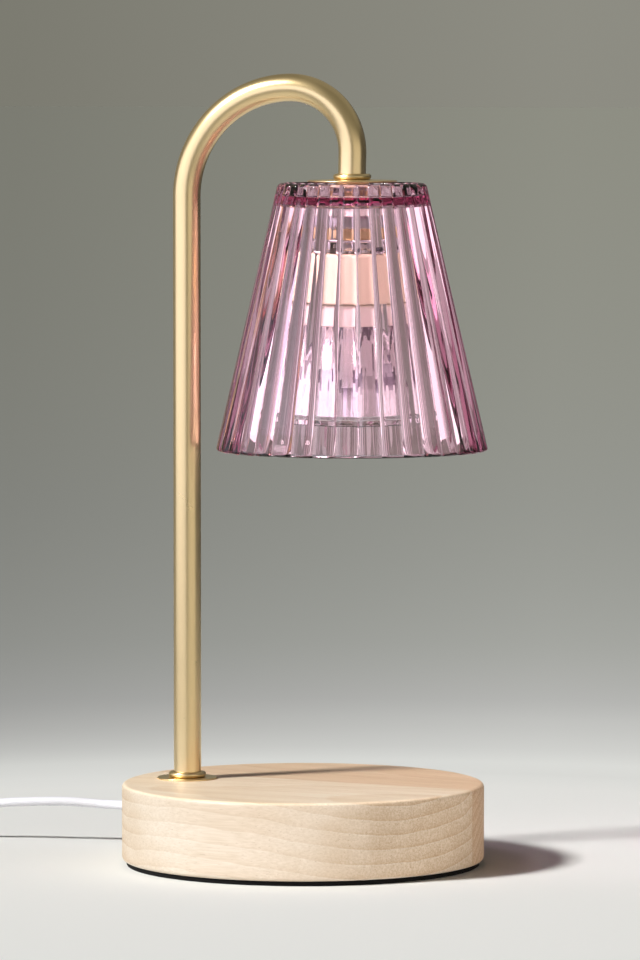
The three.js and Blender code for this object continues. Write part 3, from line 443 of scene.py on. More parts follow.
# %% Shared effects: grain, tone and gloss
def new_group(name, inputs, kind, label):
    """A node group with one output. Each input is (kind, name, default)."""
    tree = bpy.data.node_groups.new(name, "ShaderNodeTree")
    for given_kind, given_label, default in inputs:
        socket = tree.interface.new_socket(
            given_label, in_out="INPUT", socket_type="NodeSocket" + given_kind)
        if default is not None:
            socket.default_value = default
    tree.interface.new_socket(label, in_out="OUTPUT", socket_type="NodeSocket" + kind)
    given = tree.nodes.new("NodeGroupInput").outputs
    return Graph(tree), given, tree.nodes.new("NodeGroupOutput").inputs[0]


VECTOR = ("Vector", "Vector", None)
grain, given, result = new_group(
    "fine_grain", [VECTOR, ("Vector", "Per Metre", (800, 800, 800)), ("Float", "Detail", 3.0)],
    "Float", "Height",
)
finer = grain.vector("MULTIPLY", given["Vector"], given["Per Metre"])[0]
grain.feed(grain.noise(finer, 1.0, given["Detail"]), result)

drift, given, result = new_group(
    "tone_drift",
    [VECTOR, ("Color", "Color", None), ("Float", "Per Metre", 40.0), ("Float", "Spread", 0.06)],
    "Color", "Color",
)
clouds = drift.noise(given["Vector"], given["Per Metre"], 2.0)
swing = drift.calc("MULTIPLY_ADD", drift.calc("SUBTRACT", clouds, 0.5), given["Spread"], 1.0)
drift.feed(drift.scaled(given["Color"], swing), result)

gloss, given, result = new_group(
    "handled_gloss",
    [VECTOR, ("Float", "Roughness", 0.4), ("Float", "Spread", 0.08), ("Float", "Per Metre", 60.0)],
    "Float", "Roughness",
)
smears = gloss.noise(given["Vector"], given["Per Metre"], 4.0, 0.6)
centred = gloss.calc("SUBTRACT", smears, 0.5)
gloss.feed(gloss.calc("MULTIPLY_ADD", centred, given["Spread"], given["Roughness"]), result)
print("groups:", grain.tree.name, drift.tree.name, gloss.tree.name)

# %% [markdown]
# Edges lose their lacquer or their corner first, and dust settles on what faces up. Both
# are masks: the edge mask reads how sharply the surface turns, the dust mask reads the
# normal and breaks it up with noise.

# %% Shared effects: worn edges and settled dust
edges, given, result = new_group("worn_edges", [("Float", "Amount", 0.5)], "Float", "Mask")
sharp = edges.ranged(edges.node("NewGeometry").outputs["Pointiness"], 0.52, 0.6, 0.0, 1.0)
edges.feed(edges.calc("MULTIPLY", sharp, given["Amount"]), result)

dust, given, result = new_group(
    "settled_dust", [VECTOR, ("Float", "Amount", 0.1)], "Float", "Mask")
facing = dust.parts(dust.node("NewGeometry").outputs["Normal"])
upward = dust.ranged(facing["Z"], 0.6, 1.0, 0.0, 1.0)
patchy = dust.ranged(dust.noise(given["Vector"], 500.0, 4.0), 0.4, 0.7, 0.0, 1.0)
lying = dust.calc("MULTIPLY", upward, patchy)
dust.feed(dust.calc("MULTIPLY", lying, given["Amount"]), result)
print("groups:", edges.tree.name, dust.tree.name)

# %% [markdown]
# A finish starts the same way each time: a colour that drifts a little, roughness that
# varies, and a bump from the grain. What differs is a handful of numbers, so one function
# starts them all.

# %% A first coat for every finish
DUST_TONE = colour(0.72, 0.70, 0.66)


def new_paint(name):
    """A material and its graph."""
    material = bpy.data.materials.new(name)
    material.use_nodes = True
    return material, Graph(material.node_tree)


def first_coat(name, tone, roughness, metallic=0.0, drifting=0.06, spread=0.08, dusty=0.0,
               worn=None, per_metre=(900, 900, 900), relief=0.02):
    """A finish with drifting tone, handled gloss and grain."""
    material, graph = new_paint(name)
    place = graph.place()
    tinted = graph.group(drift, Vector=place, Color=tone, Spread=drifting)
    if worn:
        tinted = graph.mix(graph.group(edges, Amount=0.5), tinted, worn)
    if dusty:
        tinted = graph.mix(graph.group(dust, Vector=place, Amount=dusty), tinted, DUST_TONE)
    rough = graph.group(gloss, Vector=place, Roughness=roughness, Spread=spread)
    height = graph.group(grain, Vector=place, Per_Metre=per_metre)
    graph.coat(
        Base_Color=tinted, Roughness=rough, Metallic=metallic, Normal=graph.bump(height, relief))
    return material


# %% [markdown]
# Vinyl cord is soft and a little waxy: rough enough to have no mirror, with a faint blue
# white of its own. The pad under the disc is nearly black and hardly shines at all.

# %% White vinyl, plastics and rubber
vinyl = first_coat(
    "white_vinyl", colour(0.84, 0.84, 0.90), 0.42, drifting=0.04, per_metre=(700, 700, 700))
plastic = first_coat(
    "white_plastic", colour(0.85, 0.84, 0.81), 0.38, drifting=0.03, dusty=0.12,
    worn=colour(0.92, 0.91, 0.88), per_metre=(1600, 1600, 1600), relief=0.03)
silicone = first_coat("silicone", colour(0.80, 0.78, 0.74), 0.5)
black_rubber = first_coat("black_rubber", colour(0.035, 0.028, 0.030), 0.55)
nylon = first_coat("nylon", colour(0.83, 0.81, 0.75), 0.42)
pad_foam = first_coat(
    "black_pad", colour(0.006, 0.0055, 0.005), 0.9, drifting=0.3,
    per_metre=(2200, 2200, 2200), relief=0.12)
Graph(pad_foam.node_tree).coat(Specular_IOR_Level=0.15)
board_lacquer = first_coat("circuit_board", colour(0.03, 0.14, 0.06), 0.35)
print("soft finishes:", vinyl.name, plastic.name, black_rubber.name, nylon.name, pad_foam.name)

# %% [markdown]
# The cord pieces can be made now. Each stands for the plain solids along its route.

# %% Cord pieces
lead = fit(strand("supply_lead", lead_line, cord_diameter), vinyl, "white_vinyl", "cord_lead")
supply = fit(strand("coiled_supply", supply_line, cord_diameter), vinyl, "white_vinyl",
             "cord_link", "cord_coil", "cord_tail")
print("cord pieces:", lead.name, supply.name)

# %% [markdown]
# The disc is glued up from two staves of pale wood. Growth rings are cylinders about the
# tree's heart, so wood is best painted as a solid block: the distance from a heart line
# gives long soft lines on the top and smiling arcs on the end grain, and both meet at the
# edge as they do on the real disc. The rear stave has its own heart and a warmer tone.

# %% Wood: the grain's own coordinates
grain_turn = math.radians(10.5)
seam_place = 8.1 * MM
ring_step = 6.2 * MM
front_heart = (-38 * MM, 172 * MM)
rear_heart = (64 * MM, -46 * MM)
rear_stretch = 1.45
ring_fall = -0.07
wander_reach = 9 * MM

wood, oak = new_paint("pale_wood")
wood_place = oak.place()
grain_way = oak.node("Mapping", Vector=wood_place, Rotation=(0, 0, grain_turn)).outputs[0]
wander = oak.node("TexNoise", Vector=grain_way, Scale=16.0, Detail=3.0).outputs["Color"]
along = oak.parts(oak.vector("ADD", grain_way, oak.scaled(wander, wander_reach))[0])
plain_way = oak.parts(grain_way)
rear_stave = oak.calc("GREATER_THAN", plain_way["Y"], seam_place)
print("wood: staves meet", round(seam_place / MM, 1), "mm behind the middle")

# %% [markdown]
# Growth rings: the ring number's fraction runs from pale early wood to a thin tan late wood
# line. Fibres are noise stretched thirty times along the grain, and broad streaks are the
# same with longer, wider steps. The mottle is a fine speckle that is nearly even.

# %% Wood: rings, fibres and pores
def heart_distance(heart):
    across = oak.calc("SUBTRACT", along["Y"], heart[0])
    above = oak.calc("SUBTRACT", along["Z"], heart[1])
    flat = oak.calc("MULTIPLY", across, across)
    return oak.calc("SQRT", oak.calc("MULTIPLY_ADD", above, above, flat))


def stretched_noise(scale_along, scale_across, detail=3.0):
    scale = (scale_along, scale_across, scale_across)
    return oak.noise(oak.node("Mapping", Vector=grain_way, Scale=scale).outputs[0], 1.0, detail)


front_part = oak.calc(
    "MULTIPLY", heart_distance(front_heart), oak.calc("SUBTRACT", 1.0, rear_stave))
rear_reach = oak.calc("MULTIPLY", heart_distance(rear_heart), rear_stretch)
reach = oak.calc("MULTIPLY_ADD", rear_reach, rear_stave, front_part)
reach = oak.calc("MULTIPLY_ADD", along["X"], ring_fall, reach)
rings = oak.ramp(oak.calc("FRACT", oak.calc("DIVIDE", reach, ring_step)), [
    (0.0, colour(0.98, 0.88, 0.75)),
    (0.10, colour(0.94, 0.81, 0.66)),
    (0.45, colour(0.92, 0.78, 0.62)),
    (0.80, colour(0.86, 0.70, 0.53)),
    (0.94, colour(0.80, 0.62, 0.44)),
    (1.0, colour(0.98, 0.88, 0.75)),
])
fibre = stretched_noise(45, 1500)
broad_streaks = stretched_noise(5, 90, 2.0)
pore_noise = stretched_noise(240, 2600, 1.0)
mottle = stretched_noise(900, 1250, 4.0)
print("wood: a ring every", round(ring_step / MM, 1), "mm")

# %% [markdown]
# End grain drinks the lacquer, so it is darker and rougher, its rings stand out, and its
# pores and mottle show as dots. The normal says where the side of the disc cuts across the
# fibres. The top is painted paler and the side darker than the wood's own tone: painted
# light, for a top that catches more light and sheen than the side.

# %% Wood: end grain, staves and lacquer
seam_from = 0.05 * MM
seam_to = 0.3 * MM
streak_low = colour(0.93, 0.90, 0.86)
even_tone = colour(0.915, 0.775, 0.62)
wood_normal = oak.node("NewGeometry").outputs["Normal"]
grain_line = (math.cos(grain_turn), -math.sin(grain_turn), 0)
cut_share = oak.calc("ABSOLUTE", oak.vector("DOT_PRODUCT", wood_normal, grain_line)["Value"])
end_grain = oak.ranged(cut_share, 0.45, 0.98, 0.0, 1.0, steps="SMOOTHSTEP")
painted_light_top_share = oak.ranged(oak.parts(wood_normal)["Z"], 0.3, 0.8, 0.0, 1.0)
pores = oak.ranged(pore_noise, 0.66, 0.74, 0.0, 1.0)
pore_share = oak.calc("MULTIPLY", pores, oak.ranged(end_grain, 0, 1, 0.35, 0.8))
from_seam = oak.calc("ABSOLUTE", oak.calc("SUBTRACT", plain_way["Y"], seam_place))
seam_line = oak.ranged(from_seam, seam_from, seam_to, 0.7, 0.0)
fibre_tone = oak.mix(oak.ranged(fibre, 0.3, 0.7, 0.0, 1.0), streak_low, colour(1.05, 1.05, 1.06))
streak_share = oak.ranged(broad_streaks, 0.35, 0.65, 0.0, 1.0)
mottle_tone = oak.mix(oak.ranged(mottle, 0.38, 0.62, 0.0, 1.0), colour(0.90, 0.86, 0.81),
                      colour(1.10, 1.12, 1.15))

tone = oak.mix(oak.ranged(end_grain, 0.0, 0.8, 0.4, 1.0), even_tone, rings)
for share, layer in (
    (1.0, fibre_tone),
    (1.0, oak.mix(streak_share, streak_low, colour(1, 1, 1))),
    (rear_stave, colour(0.90, 0.80, 0.72)),
    (end_grain, colour(0.86, 0.80, 0.73)),
    # Painted light: the top is made paler and the side darker by which way the surface faces.
    (1.0, oak.mix(painted_light_top_share, colour(0.74, 0.745, 0.77), colour(1.10, 1.10, 1.07))),
    (end_grain, mottle_tone),
    (pore_share, colour(0.52, 0.40, 0.30)),
    (seam_line, colour(0.80, 0.70, 0.60)),
):
    tone = oak.tint(share, tone, layer)
lacquer = oak.ranged(end_grain, 0.0, 1.0, 0.42, 0.68)
fibre_height = oak.calc("MULTIPLY_ADD", pores, -1.5, fibre)
oak.coat(
    Base_Color=tone,
    Roughness=oak.group(gloss, Vector=wood_place, Roughness=lacquer, Spread=0.1),
    Normal=oak.bump(fibre_height, 0.07, 0.6),
)
print("wood:", len(oak.tree.nodes), "nodes")

# %% [markdown]
# The base is a disc turned from that blank. Its edges are broken with a small radius, and
# the underside holds the routed pocket for the wiring, cut here with boolean modifiers that
# are applied at once, so the mesh that leaves this script is the finished shape.

# %% Wooden disc
def carve(piece, *cutters):
    """Cuts the cutters out of the piece for good."""
    for cutter in cutters:
        tool = piece.modifiers.new("cut", "BOOLEAN")
        tool.operation = "DIFFERENCE"
        tool.solver = "EXACT"
        tool.object = cutter
    ready = bpy.context.evaluated_depsgraph_get()
    cut_mesh = bpy.data.meshes.new_from_object(piece.evaluated_get(ready))
    piece.modifiers.clear()
    piece.data = cut_mesh
    shaded(piece.data)
    for cutter in cutters:
        bpy.data.objects.remove(cutter)
    return piece


def arc(centre, radius, start, sweep, steps):
    return [centre + around(start + sweep * i / steps, radius) for i in range(steps + 1)]


def laid(piece, place, way=1, turn=0):
    """Lays a turned piece on its side, pointing along X or against it, then turns it."""
    on_side = Matrix.Rotation(turn, 4, "Z") @ Matrix.Rotation(QUARTER * way, 4, "Y")
    piece.data.transform(Matrix.Translation(place) @ on_side)
    return piece


disc = box("base_disc")
disc_radius = disc.high.x
edge_round = 2.0 * MM
seat_radius = 5.0 * MM
cord_bore_radius = 4.0 * MM
overrun = 1 * MM
stem_middle = box("foot_flange").middle
pocket_half = 15 * MM
pocket_reach = 44 * MM
pocket_end = around(outlet_turn, pocket_reach)
pocket_way = math.atan2(pocket_end.y - stem_middle.y, pocket_end.x - stem_middle.x)
outlet_axis = (0, 0, outlet_height)


def pocket_ring(height):
    """A slot with round ends from the outlet to the stem's nut."""
    ring = arc(pocket_end, pocket_half, pocket_way - QUARTER, math.pi, 24)
    ring += arc(stem_middle, pocket_half, pocket_way + QUARTER, math.pi, 24)
    return [(point.x, point.y, height) for point in ring]


pocket_roof = box("foot_washer").high.z
pocket = lofted("pocket", [pocket_ring(disc.low.z - overrun), pocket_ring(pocket_roof)])
stem_bore = rod("stem_bore", seat_radius, disc.low.z, disc.high.z + overrun, stem_middle, 32)
cord_bore = rod("cord_bore", cord_bore_radius, pocket_reach, disc_radius + overrun)
laid(cord_bore, outlet_axis, turn=outlet_turn)
disc_profile = softened(band(0, disc_radius, disc.low.z, disc.high.z), edge_round, steps=6)
wooden_disc = turned("wooden_disc", disc_profile, count=180)
fit(carve(wooden_disc, pocket, stem_bore, cord_bore), wood, "wood", "base_disc")
print("disc:", len(wooden_disc.data.polygons), "faces, edge round", edge_round / MM, "mm")

# %% [markdown]
# The pad under the disc is die-cut foam, a little smaller than the disc, so it shows as a
# thin black line that lifts the wood off the table.

# %% Pad
pad = box("base_pad")
pad_profile = softened(band(0, pad.high.x, pad.low.z, pad.high.z), SOFT_EDGE)
fit(turned("foam_pad", pad_profile, count=128), pad_foam, "pad", "base_pad")
print("pad:", round(2 * pad.high.x / MM), "mm across")

# %% [markdown]
# Satin brass is metal with a fairly rough, very fine brushed skin. Metals take their colour
# from the Base Color socket, and the tone of each reflection comes from the studio around
# it. Worn edges are a shade brighter, where the lacquer has gone.

# %% Brass, steel and tungsten
brass = first_coat(
    "satin_brass", colour(0.86, 0.66, 0.36), 0.29, metallic=1.0, spread=0.10,
    worn=colour(0.95, 0.78, 0.48), per_metre=(2400, 2400, 500), relief=0.012)
steel = first_coat(
    "zinc_steel", colour(0.56, 0.57, 0.58), 0.30, metallic=1.0, drifting=0.15,
    worn=colour(0.75, 0.75, 0.76), per_metre=(1800, 1800, 600), relief=0.01)
dark_steel = first_coat("dark_steel", colour(0.12, 0.12, 0.13), 0.42, metallic=1.0, drifting=0.2)
tungsten = first_coat("tungsten", colour(0.30, 0.29, 0.28), 0.45, metallic=1.0)
print("metals:", brass.name, steel.name, dark_steel.name, tungsten.name)

# %% [markdown]
# The stem is one brass tube, bent twice: a wide bend behind and a tighter one in front. The
# path lies in one plane, so each ring of the tube only has to tilt with the path.

# %% Stem
tube = box("stem_tube")
tube_radius = 5.8 * MM
tube_wall = 0.8 * MM
rear_bend = 46 * MM
front_bend = 27 * MM
stem_x = tube.low.x + tube_radius
crook_top = tube.high.z - tube_radius
head_x = tube.high.x - tube_radius
bend_x = stem_x + rear_bend
rear_z = crook_top - rear_bend
front_z = crook_top - front_bend
straight_steps = 12
bend_steps = 40

# Each step of the path is x, z and the way it leads, from the foot to the head.
path = []
for i in range(straight_steps):
    path.append((stem_x, tube.low.z + (rear_z - tube.low.z) * i / straight_steps, QUARTER))
for i, (s, c) in enumerate(quarter(bend_steps)[:-1]):
    path.append((bend_x - rear_bend * c, rear_z + rear_bend * s, QUARTER - QUARTER * i / bend_steps))
for i, (s, c) in enumerate(quarter(bend_steps)):
    path.append((bend_x + front_bend * s, front_z + front_bend * c, -QUARTER * i / bend_steps))
path.append((head_x, box("head_collar").low.z, -QUARTER))


def tube_ring(x, z, lean, radius, count=64):
    """A ring of the tube, square to a path that leans in the XZ plane."""
    ring = []
    for i in range(count):
        out = radius * math.cos(i * FULL / count)
        side = radius * math.sin(i * FULL / count)
        ring.append((x - out * math.sin(lean), side, z + out * math.cos(lean)))
    return ring


outer_rings = [tube_ring(*step, tube_radius) for step in path]
inner_rings = [tube_ring(*step, tube_radius - tube_wall) for step in reversed(path)]
fit(lofted("brass_stem", outer_rings + inner_rings, closed=True), brass, "brass", "stem_tube")
print("stem:", len(path), "rings, crook top at", round(crook_top / MM, 1), "mm")

# %% [markdown]
# Turned brass trim covers both ends of the tube: a thin flange and a bead at the foot, and
# a bead on a thin cap over the glass. A bead is half a circle in profile.

# %% Flange, beads and cap
cap_dish = 0.35 * MM
cap_flat = 9 * MM
bead_steps = 12


def hollow(name, profile, soft, centre, material, slot, node):
    """A turned ring with softened edges, fitted."""
    piece = turned(name, softened(profile, soft, closed=True), centre, closed=True)
    return fit(piece, material, slot, node)


def plate_profile(node, inner):
    plate = box(node)
    return band(inner, plate.half.x, plate.low.z, plate.high.z)


for name, node in (("foot_bead", "foot_collar"), ("head_bead", "head_collar")):
    bead = box(node)
    inner = tube_radius + gap
    profile = [(inner, bead.low.z)]
    for i in range(bead_steps + 1):
        rim = around(-QUARTER + math.pi * i / bead_steps, bead.half.z)
        profile.append((bead.half.x - bead.half.z + rim.x, bead.middle.z + rim.y))
    profile.append((inner, bead.high.z))
    fit(turned(name, profile, bead.middle, closed=True), brass, "brass", node)
hollow("foot_plate", plate_profile("foot_flange", seat_radius), FINE_EDGE, stem_middle, brass,
       "brass", "foot_flange")
cap = box("cap_disc")
head_middle = cap.middle
cap_profile = [(seat_radius, cap.low.z), (cap.half.x, cap.low.z), (cap.half.x, cap.high.z - cap_dish),
               (cap_flat, cap.high.z), (seat_radius, cap.high.z)]
hollow("head_cap", cap_profile, FINE_EDGE, head_middle, brass, "brass", "cap_disc")
print("trim: beads", round(2 * bead.half.x / MM, 1), "mm across")

# %% [markdown]
# The shade is the piece that takes the most skill. Its wall is pressed glass: 36 rounded
# ribs outside, a smooth cone inside, a thick crown, and a rim that was fire-polished. Each
# rib is a little convex lens: its section is flat on the crest and a parabola on each side,
# so neighbouring ribs meet in a narrow groove, and the groove deepens towards the foot as
# the cone widens.

# %% Fluted shade
rib_count = 36
rib_steps = 20
shade = box("glass_shade")
shade_axis = Vector((head_x, 0, 0))
foot_radius = 57 * MM
top_radius = 30.95 * MM
foot_rib_depth = 1.6 * MM
top_rib_depth = 0.9 * MM
shade_wall = 4.6 * MM
crown_fillet = 1.5 * MM
well_ledge = 0.6 * MM
well_draft = 0.3 * MM
well_fillet = 1.0 * MM
shoulder_round = 1.8 * MM
rim_round = 1.3 * MM
crest_flat = 0.3


def down_share(height):
    return (shade.high.z - height) / (shade.high.z - shade.low.z)


def crest_radius(height):
    return top_radius + (foot_radius - top_radius) * down_share(height)


def rib_share(step):
    """How deep the surface lies at a step across one rib: 1 in the groove, 0 on the crest."""
    across = abs(2 * step / rib_steps - 1)
    return max(0.0, (across - crest_flat) / (1 - crest_flat)) ** 2


rib_shares = [rib_share(step) for step in range(rib_steps)] * rib_count
print("ribs:", rib_count, "with", rib_steps, "points each")


def ribbed_ring(height, inset, fade):
    """A ring of the outside. The fade is how much of the ribs' depth is left."""
    depth = fade * (top_rib_depth + (foot_rib_depth - top_rib_depth) * down_share(height))
    crest = crest_radius(height) - inset
    return circle([crest - depth * share for share in rib_shares], height, shade_axis)


def plain_ring(height, radius):
    return circle(radius, height, shade_axis, len(rib_shares))


# %% [markdown]
# The rings go up the ribbed outside and over the soft shoulder where the ribs fade, down
# into the round well of the crown, through its hole, out under the crown to a fillet, down
# the smooth inside, and round the rim back to the start.

# %% Shade rings
rim_turns = quarter(5)
rim_fade = 0.55
shoulder_fade = 0.4
wall_rows = 24
inner_rows = 12
wall_foot = shade.low.z + rim_round
wall_top = shade.high.z - shoulder_round
shade_rings = []
for s, c in rim_turns[:-1]:
    shade_rings.append(ribbed_ring(
        shade.low.z + rim_round * (1 - c), rim_round * (1 - s), rim_fade + (1 - rim_fade) * s))
for i in range(wall_rows + 1):
    shade_rings.append(ribbed_ring(wall_foot + (wall_top - wall_foot) * i / wall_rows, 0, 1))
for s, c in quarter(6)[1:]:
    shade_rings.append(ribbed_ring(
        wall_top + shoulder_round * s, shoulder_round * (1 - c),
        shoulder_fade + (1 - shoulder_fade) * c))
well_floor = box("upper_gasket").low.z
crown_foot = box("lower_gasket").high.z
fillet_foot = crown_foot - crown_fillet
bore_at_fillet = crest_radius(fillet_foot) - shade_wall
well_top = top_radius - shoulder_round - well_ledge
well_bottom = well_top - well_draft
soft_corner = 0.3 * well_fillet
hole_edge = 0.4 * MM
for height, radius in (
    (shade.high.z, well_top + well_fillet), (shade.high.z - soft_corner, well_top + soft_corner),
    (shade.high.z - well_fillet, well_top), (well_floor + well_fillet, well_bottom),
    (well_floor + soft_corner, well_bottom - soft_corner), (well_floor, well_bottom - well_fillet),
    (well_floor, seat_radius + hole_edge), (well_floor - hole_edge, seat_radius),
    (crown_foot + hole_edge, seat_radius), (crown_foot, seat_radius + hole_edge),
):
    shade_rings.append(plain_ring(height, radius))
for s, c in quarter(8):
    shade_rings.append(plain_ring(
        crown_foot - crown_fillet * (1 - c), bore_at_fillet - crown_fillet * (1 - s)))
for i in range(1, inner_rows + 1):
    height = fillet_foot + (wall_foot - fillet_foot) * i / inner_rows
    shade_rings.append(plain_ring(height, crest_radius(height) - shade_wall))
inner_rim = crest_radius(shade.low.z) - shade_wall
for s, c in rim_turns[1:]:
    shade_rings.append(plain_ring(
        shade.low.z + rim_round * (1 - s), inner_rim + rim_round * (1 - c)))
fluted_shade = lofted("fluted_shade", shade_rings, closed=True)
shaded(fluted_shade.data, crease=60)
print("shade:", len(fluted_shade.data.polygons), "faces in", rib_count, "ribs")

# %% [markdown]
# Pink glass is coloured in the batch, so its tint belongs in the volume: a look through the
# wall is pale, and a look along it, at the cone's two edges, is plum. Lamps reach what is
# inside through a plain transparent shader that only shadow rays meet, because light that
# is bent through glass would otherwise take very many samples.

# %% Pink glass and clear glass
def glass_finish(name, tint, density, roughness, shadow_tone):
    """Glass with its colour in the volume. Lamps shine through it."""
    material, graph = new_paint(name)
    place = graph.place()
    nodes = graph.tree.nodes
    output = nodes["Material Output"].inputs
    waves = graph.group(grain, Vector=place, Per_Metre=(90, 90, 30))
    graph.coat(
        Base_Color=colour(1, 1, 1), Transmission_Weight=1.0, IOR=1.5,
        Roughness=graph.group(gloss, Vector=place, Roughness=roughness, Spread=0.02),
        Normal=graph.bump(waves, 0.06, 0.5),
    )
    clear = graph.node("BsdfTransparent", Color=shadow_tone).outputs[0]
    shadow_ray = graph.node("LightPath").outputs["Is Shadow Ray"]
    bent = nodes["Principled BSDF"].outputs[0]
    graph.feed(graph.filled("MixShader", (shadow_ray, bent, clear))[0], output["Surface"])
    if density:
        volume = graph.node("VolumeAbsorption", Color=tint, Density=density)
        graph.feed(volume.outputs[0], output["Volume"])
    return material


pink_glass = glass_finish(
    "pink_glass", colour(0.885, 0.56, 0.715), density=124.0, roughness=0.035,
    shadow_tone=colour(0.97, 0.93, 0.95))
clear_glass = glass_finish(
    "clear_glass", colour(1, 1, 1), density=0, roughness=0.02,
    shadow_tone=colour(0.95, 0.95, 0.95))
fit(fluted_shade, pink_glass, "pink_glass", "glass_shade")
print("glass:", pink_glass.name, clear_glass.name)

# %% [markdown]
# A stack of small parts clamps the glass: black rubber gaskets over and under the crown, a
# washer, a spacer and nuts. A nut is a hexagon whose corners were turned off at both ends,
# so each ring of its skin is a hexagon that never reaches past a circle.

# %% Clamping stack under the crown
nut_half = 7 * MM
nut_chamfer = 0.7 * MM
bore_edge = 0.5 * MM
nut_steps = 96
flat_steps = nut_steps // 6
nut_corner = nut_half / math.cos(math.pi / 6)
worn_corner = nut_half * 1.02
stand_edge = 0.6 * MM
from_flat = [(i + flat_steps // 2) % flat_steps - flat_steps // 2 for i in range(nut_steps)]
hexagon = [nut_half / math.cos(steps * FULL / nut_steps) for steps in from_flat]


def hex_nut(name, node, material, slot):
    nut = box(node)
    foot, top = nut.low.z, nut.high.z
    rings = []
    for limit, height in ((worn_corner, foot), (nut_corner, foot + nut_chamfer),
                          (nut_corner, top - nut_chamfer), (worn_corner, top)):
        rings.append(circle([min(reach, limit) for reach in hexagon], height, nut.middle))
    for wider, height in ((bore_edge, top), (0, top - bore_edge), (0, foot + bore_edge),
                          (bore_edge, foot)):
        rings.append(circle(seat_radius + wider, height, nut.middle, nut_steps))
    fit(lofted(name, rings, closed=True), material, slot, node)


hex_nut("crown_nut", "shade_nut", steel, "steel")
hex_nut("locking_nut", "lock_nut", brass, "brass")
hex_nut("strap_nut", "bracket_nut", steel, "steel")
for name, node, material, slot, soft in (
    ("cap_stand", "cap_sleeve", brass, "brass", stand_edge),
    ("top_gasket", "upper_gasket", black_rubber, "silicone", KEEN_EDGE),
    ("under_gasket", "lower_gasket", black_rubber, "silicone", FINE_EDGE),
    ("crown_washer", "shade_washer", steel, "steel", FINE_EDGE),
    ("crown_spacer", "shade_spacer", nylon, "nylon", SOFT_EDGE),
):
    hollow(name, plate_profile(node, seat_radius), soft, head_middle, material, slot, node)
print("stack: 3 nuts, 2 gaskets, washer and spacer")

# %% [markdown]
# The hat-shaped bracket is folded from steel strip. Its outline is extruded across the
# strip's width, and a bevel modifier rounds every fold and edge.

# %% Bracket and its screws
def extruded(name, outline, from_y, to_y, rounding, segments=3):
    """An outline in the XZ plane, drawn out along Y, with rounded edges."""
    piece = lofted(name, [[(x, y, z) for x, z in outline] for y in (from_y, to_y)])
    bevel = piece.modifiers.new("edges", "BEVEL")
    bevel.width = rounding
    bevel.segments = segments
    bevel.limit_method = "ANGLE"
    bevel.harden_normals = True
    return piece


bracket = box("holder_bracket")
strip = 1.2 * MM
strip_edge = 0.35 * MM
crown_half = 9 * MM
under_half = crown_half - strip
foot, top = bracket.low.z, bracket.high.z
bracket_outline = [
    (-bracket.half.x, foot), (-under_half, foot), (-under_half, top - strip),
    (under_half, top - strip), (under_half, foot), (bracket.half.x, foot),
    (bracket.half.x, foot + strip), (crown_half, foot + strip), (crown_half, top),
    (-crown_half, top), (-crown_half, foot + strip), (-bracket.half.x, foot + strip),
]
bracket_outline = [(head_x + x, z) for x, z in bracket_outline]
hat_bracket = extruded("hat_bracket", bracket_outline, bracket.low.y, bracket.high.y, strip_edge)
carve(hat_bracket, rod("nipple_hole", seat_radius, top - 3 * strip, top + strip, head_middle, 48))
fit(hat_bracket, steel, "steel", "holder_bracket")

shank = 1.3 * MM
shank_tip = shank * 0.6
screw_head = 1.6 * MM
screw_dome = 1.0 * MM
for index in (1, 2):
    node = f"bracket_screw_{index}"
    screw = box(node)
    foot, top = screw.low.z, screw.high.z
    profile = softened(
        [(0, foot), (shank_tip, foot), (shank, foot + shank), (shank, top - screw_head),
         (screw.half.x, top - screw_head), (screw.half.x, top), (0, top)],
        [0, KEEN_EDGE, KEEN_EDGE, 0, KEEN_EDGE, screw_dome, 0]
    )
    fit(turned(f"strap_screw_{index}", profile, screw.middle, 32), dark_steel, "steel", node)
print("bracket:", len(hat_bracket.data.polygons), "faces, and two screws")

# %% [markdown]
# The lampholder is steatite, a warm beige ceramic with a dry, slightly granular skin. The
# bulb's neck is a finer, paler ceramic. The reflector is a mirror broken into small cells,
# and each cell's colour is a painted reflection: drawn bright or dark by chance, it stands
# in for whatever that cell would mirror.

# %% Ceramics and the bulb's mirror
holder_ceramic = first_coat(
    "beige_ceramic", colour(0.80, 0.73, 0.52), 0.62, drifting=0.08, spread=0.1,
    per_metre=(1300, 1300, 1300), relief=0.05)
neck_ceramic = first_coat(
    "cream_ceramic", colour(0.80, 0.755, 0.66), 0.5, drifting=0.05,
    per_metre=(1500, 1500, 1500), relief=0.03)
mirror_coat = first_coat(
    "silvered_reflector", colour(0.90, 0.90, 0.91), 0.15, metallic=0.75, drifting=0.05,
    spread=0.05, per_metre=(300, 300, 300), relief=0.01)
cell_columns = 44
cell_height = 5.5 * MM
cell_stagger = 0.37
bowl = box("bulb_reflector")
clear_foot = bowl.low.z + 6 * MM
broken_foot = bowl.low.z + 13 * MM

mirror = Graph(mirror_coat.node_tree)
spot = mirror.parts(mirror.place())
turn_part = mirror.calc("ARCTAN2", spot["Y"], mirror.calc("SUBTRACT", spot["X"], shade_axis.x))
column = mirror.calc("FLOOR", mirror.calc("MULTIPLY", turn_part, cell_columns / FULL))
stagger = mirror.calc("MULTIPLY", column, cell_stagger)
row = mirror.calc("FLOOR", mirror.calc("MULTIPLY_ADD", spot["Z"], 1 / cell_height, stagger))
cell = mirror.node("CombineXYZ", X=column, Y=row).outputs[0]
chance = mirror.node("TexWhiteNoise", Vector=cell).outputs["Value"]
